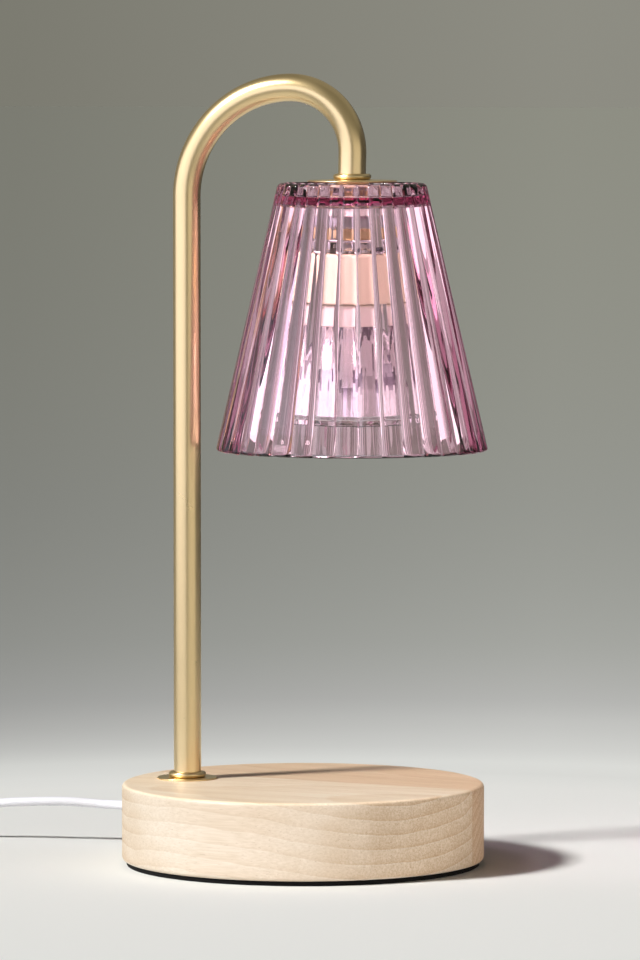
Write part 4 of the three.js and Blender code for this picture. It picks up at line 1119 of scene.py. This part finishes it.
# Painted reflection: above the lens, cells are drawn dark by chance, for facets that would mirror
# something dark.
painted_reflection_dark = mirror.calc(
    "MULTIPLY", mirror.ranged(chance, 0.15, 0.55, 1.0, 0.0),
    mirror.ranged(spot["Z"], clear_foot, broken_foot, 0.0, 1.0))
mirror.coat(Base_Color=mirror.mix(painted_reflection_dark, colour(0.96, 0.96, 0.97), colour(0.26, 0.22, 0.27)))
print("ceramics:", holder_ceramic.name, neck_ceramic.name)

# %% [markdown]
# The lampholder has two keyhole slots underneath that catch the bulb's pins. They are cut
# from a turned blank, so the holder can be looked at from below with the bulb taken out.

# %% Lampholder
holder_box = box("lampholder")
pin_radius = 5 * MM
twist = math.radians(25)
plate_top = holder_box.low.z + 3.5 * MM
slot_roof = box("contact_1").high.z
neck_half = 2.0 * MM
entry_half = 2.9 * MM
holder_foot_edge = 0.9 * MM
holder_shoulder = 1.6 * MM
wire_bore = 1.0 * MM
wire_spread = 2.6 * MM
slot_steps = 8


def slot_ring(half, side, height):
    """A slot with round ends that follows an arc about the lamp's axis."""
    start = side - twist
    near = shade_axis + around(start, pin_radius)
    far = shade_axis + around(side, pin_radius)
    ring = [
        *arc(shade_axis, pin_radius + half, start, twist, slot_steps),
        *arc(far, half, side, math.pi, slot_steps)[1:-1],
        *arc(shade_axis, pin_radius - half, side, -twist, slot_steps),
        *arc(near, half, start + math.pi, math.pi, slot_steps)[1:-1],
    ]
    return [(point.x, point.y, height) for point in ring]


cutters = []
for side in (0, math.pi):
    entry = shade_axis + around(side - twist, pin_radius)
    wire = shade_axis + around(side, wire_spread)
    for name, half, foot, top in (
        ("slot", neck_half, holder_box.low.z - overrun, plate_top + overrun),
        ("slot_room", entry_half, plate_top, slot_roof),
    ):
        cutters.append(lofted(name, [slot_ring(half, side, foot), slot_ring(half, side, top)]))
    cutters.append(
        rod("entry", entry_half, holder_box.low.z - overrun, plate_top + overrun, entry))
    cutters.append(
        rod("wire_way", wire_bore, slot_roof - overrun, holder_box.high.z + overrun, wire, 16))
holder_profile = softened(
    band(0, holder_box.half.x, holder_box.low.z, holder_box.high.z),
    [0, holder_foot_edge, holder_shoulder, 0], steps=5
)
holder = turned("ceramic_holder", holder_profile, head_middle)
fit(carve(holder, *cutters), holder_ceramic, "ceramic", "lampholder")
for name, node in (("live_core", "wire_live"), ("neutral_core", "wire_neutral")):
    core = box(node)
    profile = band(0, core.half.x, core.low.z, core.high.z)
    fit(turned(name, profile, core.middle, 24), silicone, "silicone", node)
print("holder:", len(holder.data.polygons), "faces with two keyhole slots")

# %% [markdown]
# The bulb rides on its own body, because it twists out of the holder. Its reflector is a
# pressed bowl whose wall is broken into little facets. Facets that alternate in depth
# from row to row throw the light about, which is the sparkle seen through the ribs.

# %% Bulb: neck and faceted reflector
BULB = "bulb"
neck_box = box("bulb_neck")
neck_radius = neck_box.half.x
neck_taper = 0.8 * MM
waist = neck_radius - neck_taper
foot, top = neck_box.low.z, neck_box.high.z
neck_profile = softened(
    [(0, foot), (waist, foot), (neck_radius, top - neck_taper), (waist, top), (0, top)], SOFT_EDGE)
fit(turned("bulb_neck_ceramic", neck_profile, head_middle), neck_ceramic, "ceramic", "bulb_neck",
    body=BULB)

bowl_length = bowl.high.z - bowl.low.z
bowl_wall = 1.4 * MM
bowl_swell = bowl.half.x - waist
swell_shares = [(0, 0), (0.1, 0.26), (0.25, 0.5), (0.45, 0.74), (0.7, 0.92), (1, 1)]
facet_count = 30
facet_rows = 9
facet_depth = 0.35 * MM
inside_share = 0.9
throat = 7 * MM


def swell_at(down):
    """How far the bowl has swelled at a share of its length."""
    for (d0, s0), (d1, s1) in zip(swell_shares, swell_shares[1:]):
        if down <= d1:
            return s0 + (s1 - s0) * (down - d0) / (d1 - d0)
    return 1.0


def bowl_ring(down, inset, row):
    """A ring of the bowl. Facets push every other point in, and swap from row to row."""
    radius = waist + bowl_swell * swell_at(down) - inset
    dent = facet_depth if row else 0
    radii = [radius - dent * ((i + row) % 2) for i in range(facet_count * 2)]
    return circle(radii, bowl.high.z - bowl_length * down, shade_axis)


bowl_rings = [bowl_ring(i / facet_rows, 0, i % facet_rows) for i in range(facet_rows + 1)]
for i in range(facet_rows + 1):
    bowl_rings.append(bowl_ring(1 - i / facet_rows * inside_share, bowl_wall, i))
for height in (bowl.high.z - 2 * bowl_wall, bowl.high.z):
    bowl_rings.append(circle(throat, height, head_middle, facet_count * 2))
faceted_reflector = lofted("faceted_reflector", bowl_rings, closed=True)
shaded(faceted_reflector.data, crease=12)
fit(faceted_reflector, mirror_coat, "reflector", "bulb_reflector", body=BULB)
print("reflector:", facet_count, "by", facet_rows, "facets")

# %% [markdown]
# A flat pressed lens closes the bowl. Behind it hangs the small quartz capsule, a thin
# shell with a domed end.

# %% Bulb: lens and capsule
lens = box("bulb_front_glass")
lens_radius = lens.half.x
lens_floor = 2.2 * MM
lens_edge = 0.8 * MM
lens_top_edge = 0.4 * MM
lens_inside = lens.low.z + lens_floor
lens_lip = lens_radius - gap - bowl_wall
lens_profile = softened(
    [(0, lens.low.z), (lens_radius, lens.low.z), (lens_radius, lens.high.z),
     (lens_lip, lens.high.z), (lens_lip, lens_inside), (0, lens_inside)],
    [0, lens_edge, lens_top_edge, FINE_EDGE, lens_edge, 0]
)
fit(turned("front_lens", lens_profile, head_middle), clear_glass, "clear_glass",
    "bulb_front_glass", body=BULB)

capsule_box = box("bulb_capsule")
capsule_radius = capsule_box.half.x
quartz_wall = 0.9 * MM
bore = capsule_radius - quartz_wall
dome_middle = capsule_box.low.z + capsule_radius
capsule_profile = [(capsule_radius, capsule_box.high.z)]
capsule_profile += [(capsule_radius * c, dome_middle - capsule_radius * s) for s, c in quarter(8)]
capsule_profile += [(bore * c, dome_middle - bore * s) for s, c in reversed(quarter(8))]
capsule_profile.append((bore, capsule_box.high.z))
capsule = turned("quartz_capsule", capsule_profile, head_middle, 48, closed=True)
fit(capsule, clear_glass, "clear_glass", "bulb_capsule", body=BULB)
print("bulb: lens", round(2 * lens_radius / MM, 1), "mm across")

# %% [markdown]
# In the capsule is a coiled tungsten filament, drawn as a fine helix bent into a U: down one
# leg, round the bow and up the other leg. Two headed pins stand on the neck and hold the
# bulb.

# %% Bulb: filament and pins
filament_box = box("bulb_filament")
helix_radius = 0.3 * MM
helix_wire = 0.16 * MM
helix_turns = 34
helix_steps = 10
leg_half = filament_box.half.x - helix_radius
leg_top = filament_box.high.z
bow_middle = filament_box.low.z + helix_radius + leg_half
leg_length = leg_top - bow_middle
bow_length = math.pi * leg_half


def filament_axis(distance):
    """A point on the U and the direction across it."""
    if distance < leg_length:
        return Vector((-leg_half, 0, leg_top - distance)), Vector((1, 0, 0))
    if distance < leg_length + bow_length:
        turn = (distance - leg_length) / leg_half
        out = Vector((-math.cos(turn), 0, -math.sin(turn)))
        return Vector((0, 0, bow_middle)) + out * leg_half, -out
    rise = distance - leg_length - bow_length
    return Vector((leg_half, 0, bow_middle + rise)), Vector((-1, 0, 0))


helix_line = []
helix_count = helix_turns * helix_steps
for i in range(helix_count + 1):
    on_axis, inward = filament_axis((2 * leg_length + bow_length) * i / helix_count)
    turn = i * FULL / helix_steps
    offset = inward * math.cos(turn) + Vector((0, 1, 0)) * math.sin(turn)
    helix_line.append(shade_axis + on_axis + offset * helix_radius)
fit(strand("filament_helix", helix_line, helix_wire), tungsten, "tungsten", "bulb_filament",
    body=BULB)

pin_shank = 1.6 * MM
pin_head = 2.6 * MM
pin_dome = 0.6 * MM
for index in (1, 2):
    pin = box(f"bulb_pin_{index}")
    neck = pin.high.z - pin_head
    profile = softened(
        [(0, pin.low.z), (pin_shank, pin.low.z), (pin_shank, neck), (pin.half.x, neck),
         (pin.half.x, pin.high.z), (0, pin.high.z)],
        [0, 0, 0, FINE_EDGE, pin_dome, 0]
    )
    fit(turned(f"twist_pin_{index}", profile, pin.middle, 40), steel, "steel",
        f"bulb_pin_{index}", body=BULB)
print("filament:", helix_turns, "turns, and two pins")

# %% [markdown]
# The cord outlet, the dimmer's grips and the plug's relief are the same idea: a soft cone
# that stops the cord from kinking. Grooves let it bend. All are turned profiles laid over
# on their side.

# %% Strain reliefs
groove_steps = 8
groove_depth = 0.5 * MM
groove_fade = 6
tip_wall = 0.7 * MM
relief_tip = cord_diameter / 2 + tip_wall


def relief_profile(length, root, grooves, depth=groove_depth):
    """A tapering sleeve with rounded grooves, standing on its root."""
    profile = [(0, 0), (root, 0)]
    count = grooves * groove_steps
    for i in range(1, count):
        share = i / count
        dip = depth * (0.5 - 0.5 * math.cos(i * FULL / groove_steps))
        ending = min(1.0, (1 - share) * groove_fade)
        profile.append((root + (relief_tip - root) * share - dip * ending, length * share))
    return [*profile, (relief_tip, length * 0.99), (relief_tip * 0.9, length), (0, length)]


def relief(name, node, way, root, grooves):
    """A relief along X, in the box of its node."""
    room = box(node)
    place = (room.low.x if way > 0 else room.high.x, room.middle.y, room.middle.z)
    profile = relief_profile(2 * room.half.x, root, grooves)
    return fit(laid(turned(name, profile, count=48), place, way), plastic, "white_plastic", node)


exit_depth = 14 * MM
exit_shank = 3.7 * MM
exit_flange = 5.5 * MM
flange_thickness = 2.6 * MM
flange_edge = 0.7 * MM
sleeve_length = 18 * MM
sleeve_root = 3.8 * MM
sleeve_seat = 4.0 * MM
sleeve_depth = 0.45 * MM
grip_root = 4.2 * MM
exit_root = disc_radius - exit_depth
exit_foot = disc_radius + gap
exit_top = exit_foot + flange_thickness
flange_corners = band(exit_shank, exit_flange, exit_foot, exit_top)[:3] + [(sleeve_seat, exit_top)]
flange_profile = softened(flange_corners, flange_edge)
outlet_profile = [(0, exit_root), (exit_shank, exit_root), (exit_shank, exit_foot),
                  *flange_profile[1:-1]]
for radius, height in relief_profile(sleeve_length, sleeve_root, 5, sleeve_depth)[1:]:
    outlet_profile.append((radius, exit_top + height))
outlet = laid(turned("outlet_relief", outlet_profile, count=48), outlet_axis, turn=outlet_turn)
fit(outlet, plastic, "white_plastic", "cord_outlet")
grips = [relief("inlet_grip", "dimmer_grip_in", 1, grip_root, 4),
         relief("outlet_grip", "dimmer_grip_out", -1, grip_root, 4)]
print("reliefs: outlet and two grips")

# %% [markdown]
# The dimmer is two moulded shells with a soft rectangle for an outline, and a fine shadow
# line where they meet. Each shell is hollow: its skin runs over the outside, across the
# joint and back down the inside, and the upper one ends in the hole for the knob's shaft.
# Two screws come up from below, so both shells are cut for them.

# %% Dimmer shells
corner_steps = 10
dimmer_low = box("dimmer_lower_shell").low
dimmer_high = box("dimmer_upper_shell").high
dimmer_middle = (dimmer_low + dimmer_high) / 2
dimmer_half = (dimmer_high - dimmer_low) / 2
dimmer_corner = 7 * MM
dimmer_round = 2 * MM
dimmer_wall = 2 * MM
cavity_long = 16 * MM
cavity_wide = 10 * MM
cavity_corner = 5 * MM
joint_height = box("dimmer_lower_shell").high.z
joint_gap = 0.15 * MM
lip_edge = 0.3 * MM
shaft_hole = 2.8 * MM
screw_shank = 1.2 * MM + gap
screw_seat = 2.0 * MM + gap


def rounded(half_a, half_b, corner):
    """A flat rectangle with round corners, as pairs."""
    pairs = []
    for index, (a, b) in enumerate(((1, 1), (-1, 1), (-1, -1), (1, -1))):
        for i in range(corner_steps + 1):
            bend = around(index * QUARTER + QUARTER * i / corner_steps, corner)
            pairs.append((a * (half_a - corner) + bend.x, b * (half_b - corner) + bend.y))
    return pairs


def round_hole(radius):
    """A circle with as many pairs as a rounded rectangle."""
    count = 4 * (corner_steps + 1)
    points = [around((i + 0.5) * FULL / count, radius) for i in range(count)]
    return [(point.x, point.y) for point in points]


def level(pairs, height):
    return [(dimmer_middle.x + a, dimmer_middle.y + b, height) for a, b in pairs]


def shell_rings(outside, way):
    """Rings from the outer face, round its edge, to just short of the joint and inside."""
    lip = joint_height - way * joint_gap
    steps = [(dimmer_round * (1 - s), outside + way * dimmer_round * (1 - c)) for s, c in quarter(5)]
    steps += [(0, lip - way * lip_edge), (lip_edge, lip)]
    rings = []
    for inset, height in steps:
        rings.append(level(rounded(dimmer_half.x - inset, dimmer_half.y - inset,
                                   dimmer_corner - inset), height))
    for height in (lip, outside + way * dimmer_wall):
        rings.append(level(rounded(cavity_long, cavity_wide, cavity_corner), height))
    return rings


lower_shell = lofted("dimmer_base_shell", shell_rings(dimmer_low.z, 1))
upper_rings = shell_rings(dimmer_high.z, -1)
for height in (dimmer_high.z - dimmer_wall, dimmer_high.z):
    upper_rings.append(level(round_hole(shaft_hole), height))
upper_shell = lofted("dimmer_top_shell", upper_rings, closed=True)
for node in ("dimmer_screw_1", "dimmer_screw_2"):
    screw = box(node)
    below = screw.low.z - overrun
    for shell, radius, reach in (
        (lower_shell, screw.half.x + gap, screw.low.z + screw_seat),
        (lower_shell, screw_shank, screw.high.z),
        (upper_shell, screw_shank, screw.high.z + gap),
    ):
        carve(shell, rod("screw_way", radius, below, reach, screw.middle, 32))
fit(lower_shell, plastic, "white_plastic", "dimmer_lower_shell")
fit(upper_shell, plastic, "white_plastic", "dimmer_upper_shell")
print("dimmer:", round(2 * dimmer_half.x / MM), "mm long")

# %% [markdown]
# The knob has ridges for a thumb, a soft top edge, and a small raised pointer. It rides on
# its own body, so the pointer turns with it.

# %% Dimmer knob
KNOB = "dimmer_knob"
knob_box = box("dimmer_knob")
knob_foot = dimmer_high.z + gap
knob_top = knob_box.high.z
ridge_count = 24
ridge_steps = 6
ridge_depth = 0.5 * MM
knob_count = ridge_count * ridge_steps
shaft_radius = 2.5 * MM
foot_edge = 0.4 * MM
top_round = 1.0 * MM
dish = 0.4 * MM
dish_rim = 2.2 * MM
dish_foot = 2.8 * MM
pointer_start = 2.0 * MM
pointer_reach = 6.2 * MM
pointer_half = 0.5 * MM
pointer_edge = 0.12 * MM
dips = [0.5 - 0.5 * math.cos(i * FULL / ridge_steps) for i in range(ridge_steps)] * ridge_count


def knob_ring(height, inset, fade):
    """A ridged ring. The fade is how much of the ridges' depth is left."""
    radii = [knob_box.half.x - inset - ridge_depth * fade * dip for dip in dips]
    return circle(radii, height, knob_box.middle)


def knob_circle(radius, height):
    return circle(radius, height, knob_box.middle, knob_count)


knob_rings = [knob_circle(0, knob_box.low.z), knob_circle(shaft_radius, knob_box.low.z),
              knob_circle(shaft_radius, knob_foot), knob_ring(knob_foot, foot_edge, 1),
              knob_ring(knob_foot + foot_edge, 0, 1)]
for i, (s, c) in enumerate(quarter(5)):
    knob_rings.append(knob_ring(knob_top - top_round + top_round * s, top_round * (1 - c), 1 - i / 5))
knob_rings += [knob_circle(knob_box.half.x - dish_rim, knob_top),
               knob_circle(knob_box.half.x - dish_foot, knob_top - dish),
               knob_circle(0, knob_top - dish)]
knob = fit(lofted("thumb_knob", knob_rings), plastic, "white_plastic", "dimmer_knob", body=KNOB)
knob_axis = knob_box.middle
pointer_band = band(
    knob_axis.x + pointer_start, knob_axis.x + pointer_reach, knob_top - dish, knob_top)
pointer = extruded(
    "knob_pointer", softened(pointer_band, KEEN_EDGE, closed=True),
    knob_axis.y - pointer_half, knob_axis.y + pointer_half, pointer_edge, 2
)
fit(pointer, plastic, "white_plastic", body=KNOB)
print("knob:", ridge_count, "ridges")

# %% [markdown]
# Some hidden pieces keep the frame's own solids, whose shapes are right, and only get their
# finishes.

# %% Finishes for the frame's own solids
kept_finishes = {
    board_lacquer: ["dimmer_board"],
    steel: ["dimmer_potentiometer", "dimmer_screw_1", "dimmer_screw_2", "foot_washer", "foot_nut"],
    brass: ["foot_nipple", "head_nipple", "contact_1", "contact_2"],
    vinyl: ["inner_lead"],
}
for material, nodes in kept_finishes.items():
    for node in nodes:
        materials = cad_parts[node].data.materials
        materials.clear()
        materials.append(material)
print("kept solids:", sum(len(nodes) for nodes in kept_finishes.values()))

# %% [markdown]
# The plug is moulded round its blades: narrow where the cord enters, wide at the face, with
# finger grooves on its sides. Its rings stand along the cord, each a rounded rectangle.

# %% Plug
plug_box = box("plug_body")
plug_length = 2 * plug_box.half.x
tail_half = 7 * MM
plug_corner = 3.2 * MM
least_corner = 0.6 * MM
plug_rows = 40
end_round = 2.0 * MM
end_share = end_round / plug_length
finger_depth = 0.6 * MM
finger_from = 0.25
finger_to = 0.68
finger_waves = 7
widest_share = 0.8


def plug_ring(share, inset, dip=0.0):
    """A rounded rectangle across the plug, at a share of its length from the tail."""
    swell = min(share / widest_share, 1.0)
    swell = swell * swell * (3 - 2 * swell)
    half = tail_half + (plug_box.half.y - tail_half) * swell - inset - dip
    pairs = rounded(half, plug_box.half.z - inset, max(plug_corner - inset, least_corner))
    x = plug_box.low.x + plug_length * share
    return [(x, plug_box.middle.y + a, plug_box.middle.z + b) for a, b in pairs]


plug_rings = [plug_ring(end_share * (1 - c), end_round * (1 - s)) for s, c in quarter(6)[:-1]]
for i in range(plug_rows + 1):
    share = end_share + (1 - 2 * end_share) * i / plug_rows
    wave = math.sin((share - finger_from) * FULL * finger_waves)
    grooved = finger_from < share < finger_to and wave > 0
    plug_rings.append(plug_ring(share, 0, finger_depth * wave if grooved else 0))
for s, c in quarter(6)[1:]:
    plug_rings.append(plug_ring(1 - end_share * (1 - s), end_round * (1 - c)))
plug = fit(lofted("moulded_plug", plug_rings), plastic, "white_plastic", "plug_body")
print("plug:", round(plug_length / MM), "mm body in", len(plug_rings), "rings")

# %% [markdown]
# Each blade is stamped from brass strip, with the hole near its tip that such blades have. A
# soft strap, a flat band bent into a rounded loop, holds the coil together.

# %% Plug blades, plug relief and coil tie
blade_edge = 0.2 * MM
blade_corner = 1.2 * MM
blade_hole = 1.5 * MM
hole_from_tip = 4 * MM
tie_thickness = 0.9 * MM
tie_edge = 0.25 * MM
tie_corner = 1.6 * MM
plug_relief_root = 4.5 * MM


def upright(pairs, y, x, z):
    """A flat outline stood up at a place along Y."""
    return [(x + a, y, z + b) for a, b in pairs]


def blade_piece(name, node):
    """A flat blade with rounded corners and a round hole."""
    blade = box(node)
    hole_x = blade.high.x - hole_from_tip
    rings = []
    for y, inset in ((blade.low.y, blade_edge), (blade.low.y + blade_edge, 0),
                     (blade.high.y - blade_edge, 0), (blade.high.y, blade_edge)):
        pairs = rounded(blade.half.x - inset, blade.half.z - inset, blade_corner)
        rings.append(upright(pairs, y, blade.middle.x, blade.middle.z))
    for y in (blade.high.y, blade.low.y):
        rings.append(upright(round_hole(blade_hole), y, hole_x, blade.middle.z))
    return fit(lofted(name, rings, closed=True), brass, "brass", node)


narrow_blade = blade_piece("narrow_blade", "plug_blade_narrow")
wide_blade = blade_piece("wide_blade", "plug_blade_wide")
plug_relief = relief("plug_sleeve", "plug_relief", -1, plug_relief_root, 6)

tie_box = box("cord_tie")
tie_rings = []
for y, inset in (
    (tie_box.low.y + tie_edge, 0), (tie_box.high.y - tie_edge, 0),
    (tie_box.high.y, tie_edge), (tie_box.high.y, tie_thickness - tie_edge),
    (tie_box.high.y - tie_edge, tie_thickness), (tie_box.low.y + tie_edge, tie_thickness),
    (tie_box.low.y, tie_thickness - tie_edge), (tie_box.low.y, tie_edge),
):
    pairs = rounded(tie_box.half.x - inset, tie_box.half.z - inset, tie_corner - inset)
    tie_rings.append(upright(pairs, y, tie_box.middle.x, tie_box.middle.z))
tie = fit(lofted("coil_strap", tie_rings, closed=True), vinyl, "white_vinyl", "cord_tie")
print("blades:", narrow_blade.name, wide_blade.name, "and a strap for the coil:", tie.name)

# %% [markdown]

# %% [markdown]
# The studio is a pale table that falls away into grey. One large plain floor does both: its
# colour is pale round the lamp and darkens with distance, a little more to the left, so it
# has no edge and keeps the lamp's shadow. That pale pool and its darkening are painted
# light: a painted pool of light round the lamp and a painted fall-off of light away from it
# and towards the left. The change from left to right goes by the angle from the front of
# the set, so the floor and the world behind it can share it.

# %% Floor
floor_half = 40.0
set_front = 2.67
left_slant = -0.047
right_slant = 0.038
right_gain = 1.35
near_reach = 0.3


def card(name, corners, paint):
    """A flat piece of the studio with four corners."""
    mesh = bpy.data.meshes.new(name)
    mesh.from_pydata(corners, [], [(0, 1, 2, 3)])
    mesh.materials.append(paint)
    piece = add_object(name, mesh)
    return piece


def sideways(graph, place, front):
    """0 on the picture's left and 1 on its right, seen from the front of the set."""
    way = graph.node("Mapping", Vector=place, Rotation=(0, 0, -camera_turn)).outputs[0]
    parts = graph.parts(way)
    slant = graph.calc("DIVIDE", parts["X"], graph.calc("ADD", parts["Y"], front))
    return graph.ranged(slant, left_slant, right_slant, 0.0, 1.0)


floor_paint, floor = new_paint("studio_floor")
floor_place = floor.place()
from_lamp = floor.vector("LENGTH", floor_place)["Value"]
# The share of the way to the far tones is 1 - 0.3 m / distance.
far_share = floor.calc("SUBTRACT", 1.0, floor.calc("DIVIDE", near_reach, from_lamp))
# Painted light: pale near the lamp, darker with distance.
painted_falloff_tones = floor.ramp(far_share, [
    (0.0, colour(0.835, 0.845, 0.828)),
    (0.12, colour(0.80, 0.815, 0.80)),
    (0.25, colour(0.728, 0.744, 0.73)),
    (0.35, colour(0.598, 0.609, 0.60)),
    (0.46, colour(0.489, 0.497, 0.49)),
    (0.57, colour(0.394, 0.40, 0.395)),
    (0.71, colour(0.321, 0.33, 0.315)),
    (0.865, colour(0.264, 0.272, 0.253)),
    (1.0, colour(0.234, 0.238, 0.204)),
])
# Painted fall-off of light: the far floor is painted lighter towards the right.
beyond = floor.ranged(far_share, 0.15, 0.5, 0.0, right_gain - 1)
gain = floor.calc("MULTIPLY_ADD", sideways(floor, floor_place, set_front), beyond, 1.0)
floor.coat(Base_Color=floor.scaled(painted_falloff_tones, gain), Roughness=0.9, Specular_IOR_Level=0.0)
card("studio_floor", [(-floor_half, -floor_half, 0), (floor_half, -floor_half, 0),
                      (floor_half, floor_half, 0), (-floor_half, floor_half, 0)], floor_paint)
print("floor:", 2 * floor_half, "m across,", len(floor.tree.nodes), "nodes")

# %% [markdown]
# The world is the same grey as the far floor for the camera, for metal and for glass, so
# the floor's far edge can't be seen. As a light it is nearly dark, so that the lamps alone
# shape the piece and its shadow stays clear.

# %% World
fill_level = 0.012
world = bpy.data.worlds.new("studio")
bpy.context.scene.world = world
world.use_nodes = True
sky = Graph(world.node_tree)
sky.tree.nodes.clear()
ray = sky.node("LightPath").outputs
seen = sky.calc("MAXIMUM", ray["Is Camera Ray"], ray["Is Glossy Ray"])
seen = sky.calc("MAXIMUM", seen, ray["Is Transmission Ray"])
sky_side = sideways(sky, sky.node("TexCoord").outputs["Generated"], 0.0)
# Painted fall-off of light: like the floor, the backdrop grey is painted lighter towards the right.
seen_tone = sky.mix(sky_side, colour(0.203, 0.200, 0.166), colour(0.268, 0.264, 0.226))
sky_tone = sky.mix(seen, colour(fill_level, fill_level, fill_level), seen_tone)
background = sky.node("Background", Color=sky_tone, Strength=1.0)
sky.node("OutputWorld", Surface=background.outputs[0])
print("world:", len(sky.tree.nodes), "nodes")

# %% [markdown]
# The key light comes from the left and the front, 38 degrees up, with a soft edge to its
# shadow. Upright panels stand round the lamp. The left and the right one are for the brass:
# the dark gap between them is the thin olive line down its middle. The glows behind and
# beside it are seen only through the glass. Two low strips light the side of the disc, and
# a grid on each keeps its light off the floor close by.

# %% Lights
grid_spread = math.radians(70)


def studio_direction(turn_right, height=0):
    """A direction seen from the lamp: degrees right of the camera, degrees up."""
    up = math.radians(height)
    level_way = around(camera_turn - QUARTER + math.radians(turn_right), 1)
    return level_way * math.cos(up) + Vector((0, 0, 1)) * math.sin(up)


def lamp(name, kind, energy, tint, way):
    """A light that shines against its way."""
    data = bpy.data.lights.new(name, kind)
    data.energy = energy * math.pi
    data.color = tint
    light = add_object(name, data)
    light.rotation_mode = "QUATERNION"
    light.rotation_quaternion = way.to_track_quat("Z", "Y")
    return light


def panel(name, turn_right, distance, width, height, brightness, tint, unseen_by):
    """An upright glowing panel that stands on the floor and faces the lamp."""
    way = studio_direction(turn_right)
    light = lamp(name, "AREA", brightness * width * height, tint, way)
    light.data.shape = "RECTANGLE"
    light.data.size = width
    light.data.size_y = height
    light.location = way * distance + Vector((0, 0, height / 2))
    for kind in ("camera", *unseen_by):
        setattr(light, "visible_" + kind, False)
    return light


# Rays of these kinds don't meet a panel that is meant for one thing.
BRASS_ONLY = ("diffuse", "transmission")
GLASS_ONLY = ("diffuse", "glossy")
DULL_ONLY = ("glossy", "transmission")
key_way = studio_direction(-64.3, 38.4)
key = lamp("key", "SUN", 1.35, (1.0, 0.985, 0.96), key_way)
key.data.angle = math.radians(10)
panels = [panel(*row) for row in (
    ("left_panel", -59.0, 1.3, 2.84, 0.75, 1.10, (1.0, 1.03, 1.26), ("diffuse",)),
    ("right_panel", 40.5, 1.3, 1.6, 0.6, 0.54, (1.0, 0.94, 0.86), BRASS_ONLY),
    ("left_glow", -115, 1.28, 1.1, 0.8, 1.45, (1.0, 0.985, 0.985), GLASS_ONLY),
    ("left_rear_glow", -150, 1.3, 0.76, 0.8, 0.28, (1.0, 0.985, 0.985), GLASS_ONLY),
    ("right_rear_glow", 150, 1.3, 0.76, 0.8, 0.36, (1.0, 0.98, 0.98), GLASS_ONLY),
    ("right_glow", 121, 1.3, 0.65, 0.8, 1.7, (1.0, 0.98, 0.98), GLASS_ONLY),
    ("right_side_glow", 80, 1.3, 1.5, 0.8, 1.3, (1.0, 0.98, 0.98), GLASS_ONLY),
    ("low_fill", 44, 2.4, 2.4, 0.22, 4.6, (1.0, 0.96, 0.90), DULL_ONLY),
    ("low_left_fill", -98, 2.4, 2.0, 0.22, 1.3, (0.4, 0.8, 1.0), DULL_ONLY),
)]
for low_fill in panels[-2:]:
    low_fill.data.spread = grid_spread
print("lights: key from", [round(x, 2) for x in key_way], "and", len(panels), "panels")

# %% [markdown]
# Brass also needs something dark to mirror, or its shaded side looks flat. A dark card
# stands behind the lamp on the right, where only mirrored rays meet it.

# %% Dark card
flag_distance = 1.25
flag_near = studio_direction(72) * flag_distance
flag_far = studio_direction(176) * flag_distance
flag_top = Vector((0, 0, 0.6))
flag_paint, flag = new_paint("dark_flag")
flag.coat(Base_Color=colour(0.03, 0.03, 0.03))
dark_flag = card(
    "dark_flag", [flag_near, flag_far, flag_far + flag_top, flag_near + flag_top], flag_paint)
for kind in ("camera", "diffuse", "transmission", "shadow"):
    setattr(dark_flag, "visible_" + kind, False)
bpy.context.scene.view_settings.view_transform = "Standard"
print("dark card:", dark_flag.name)
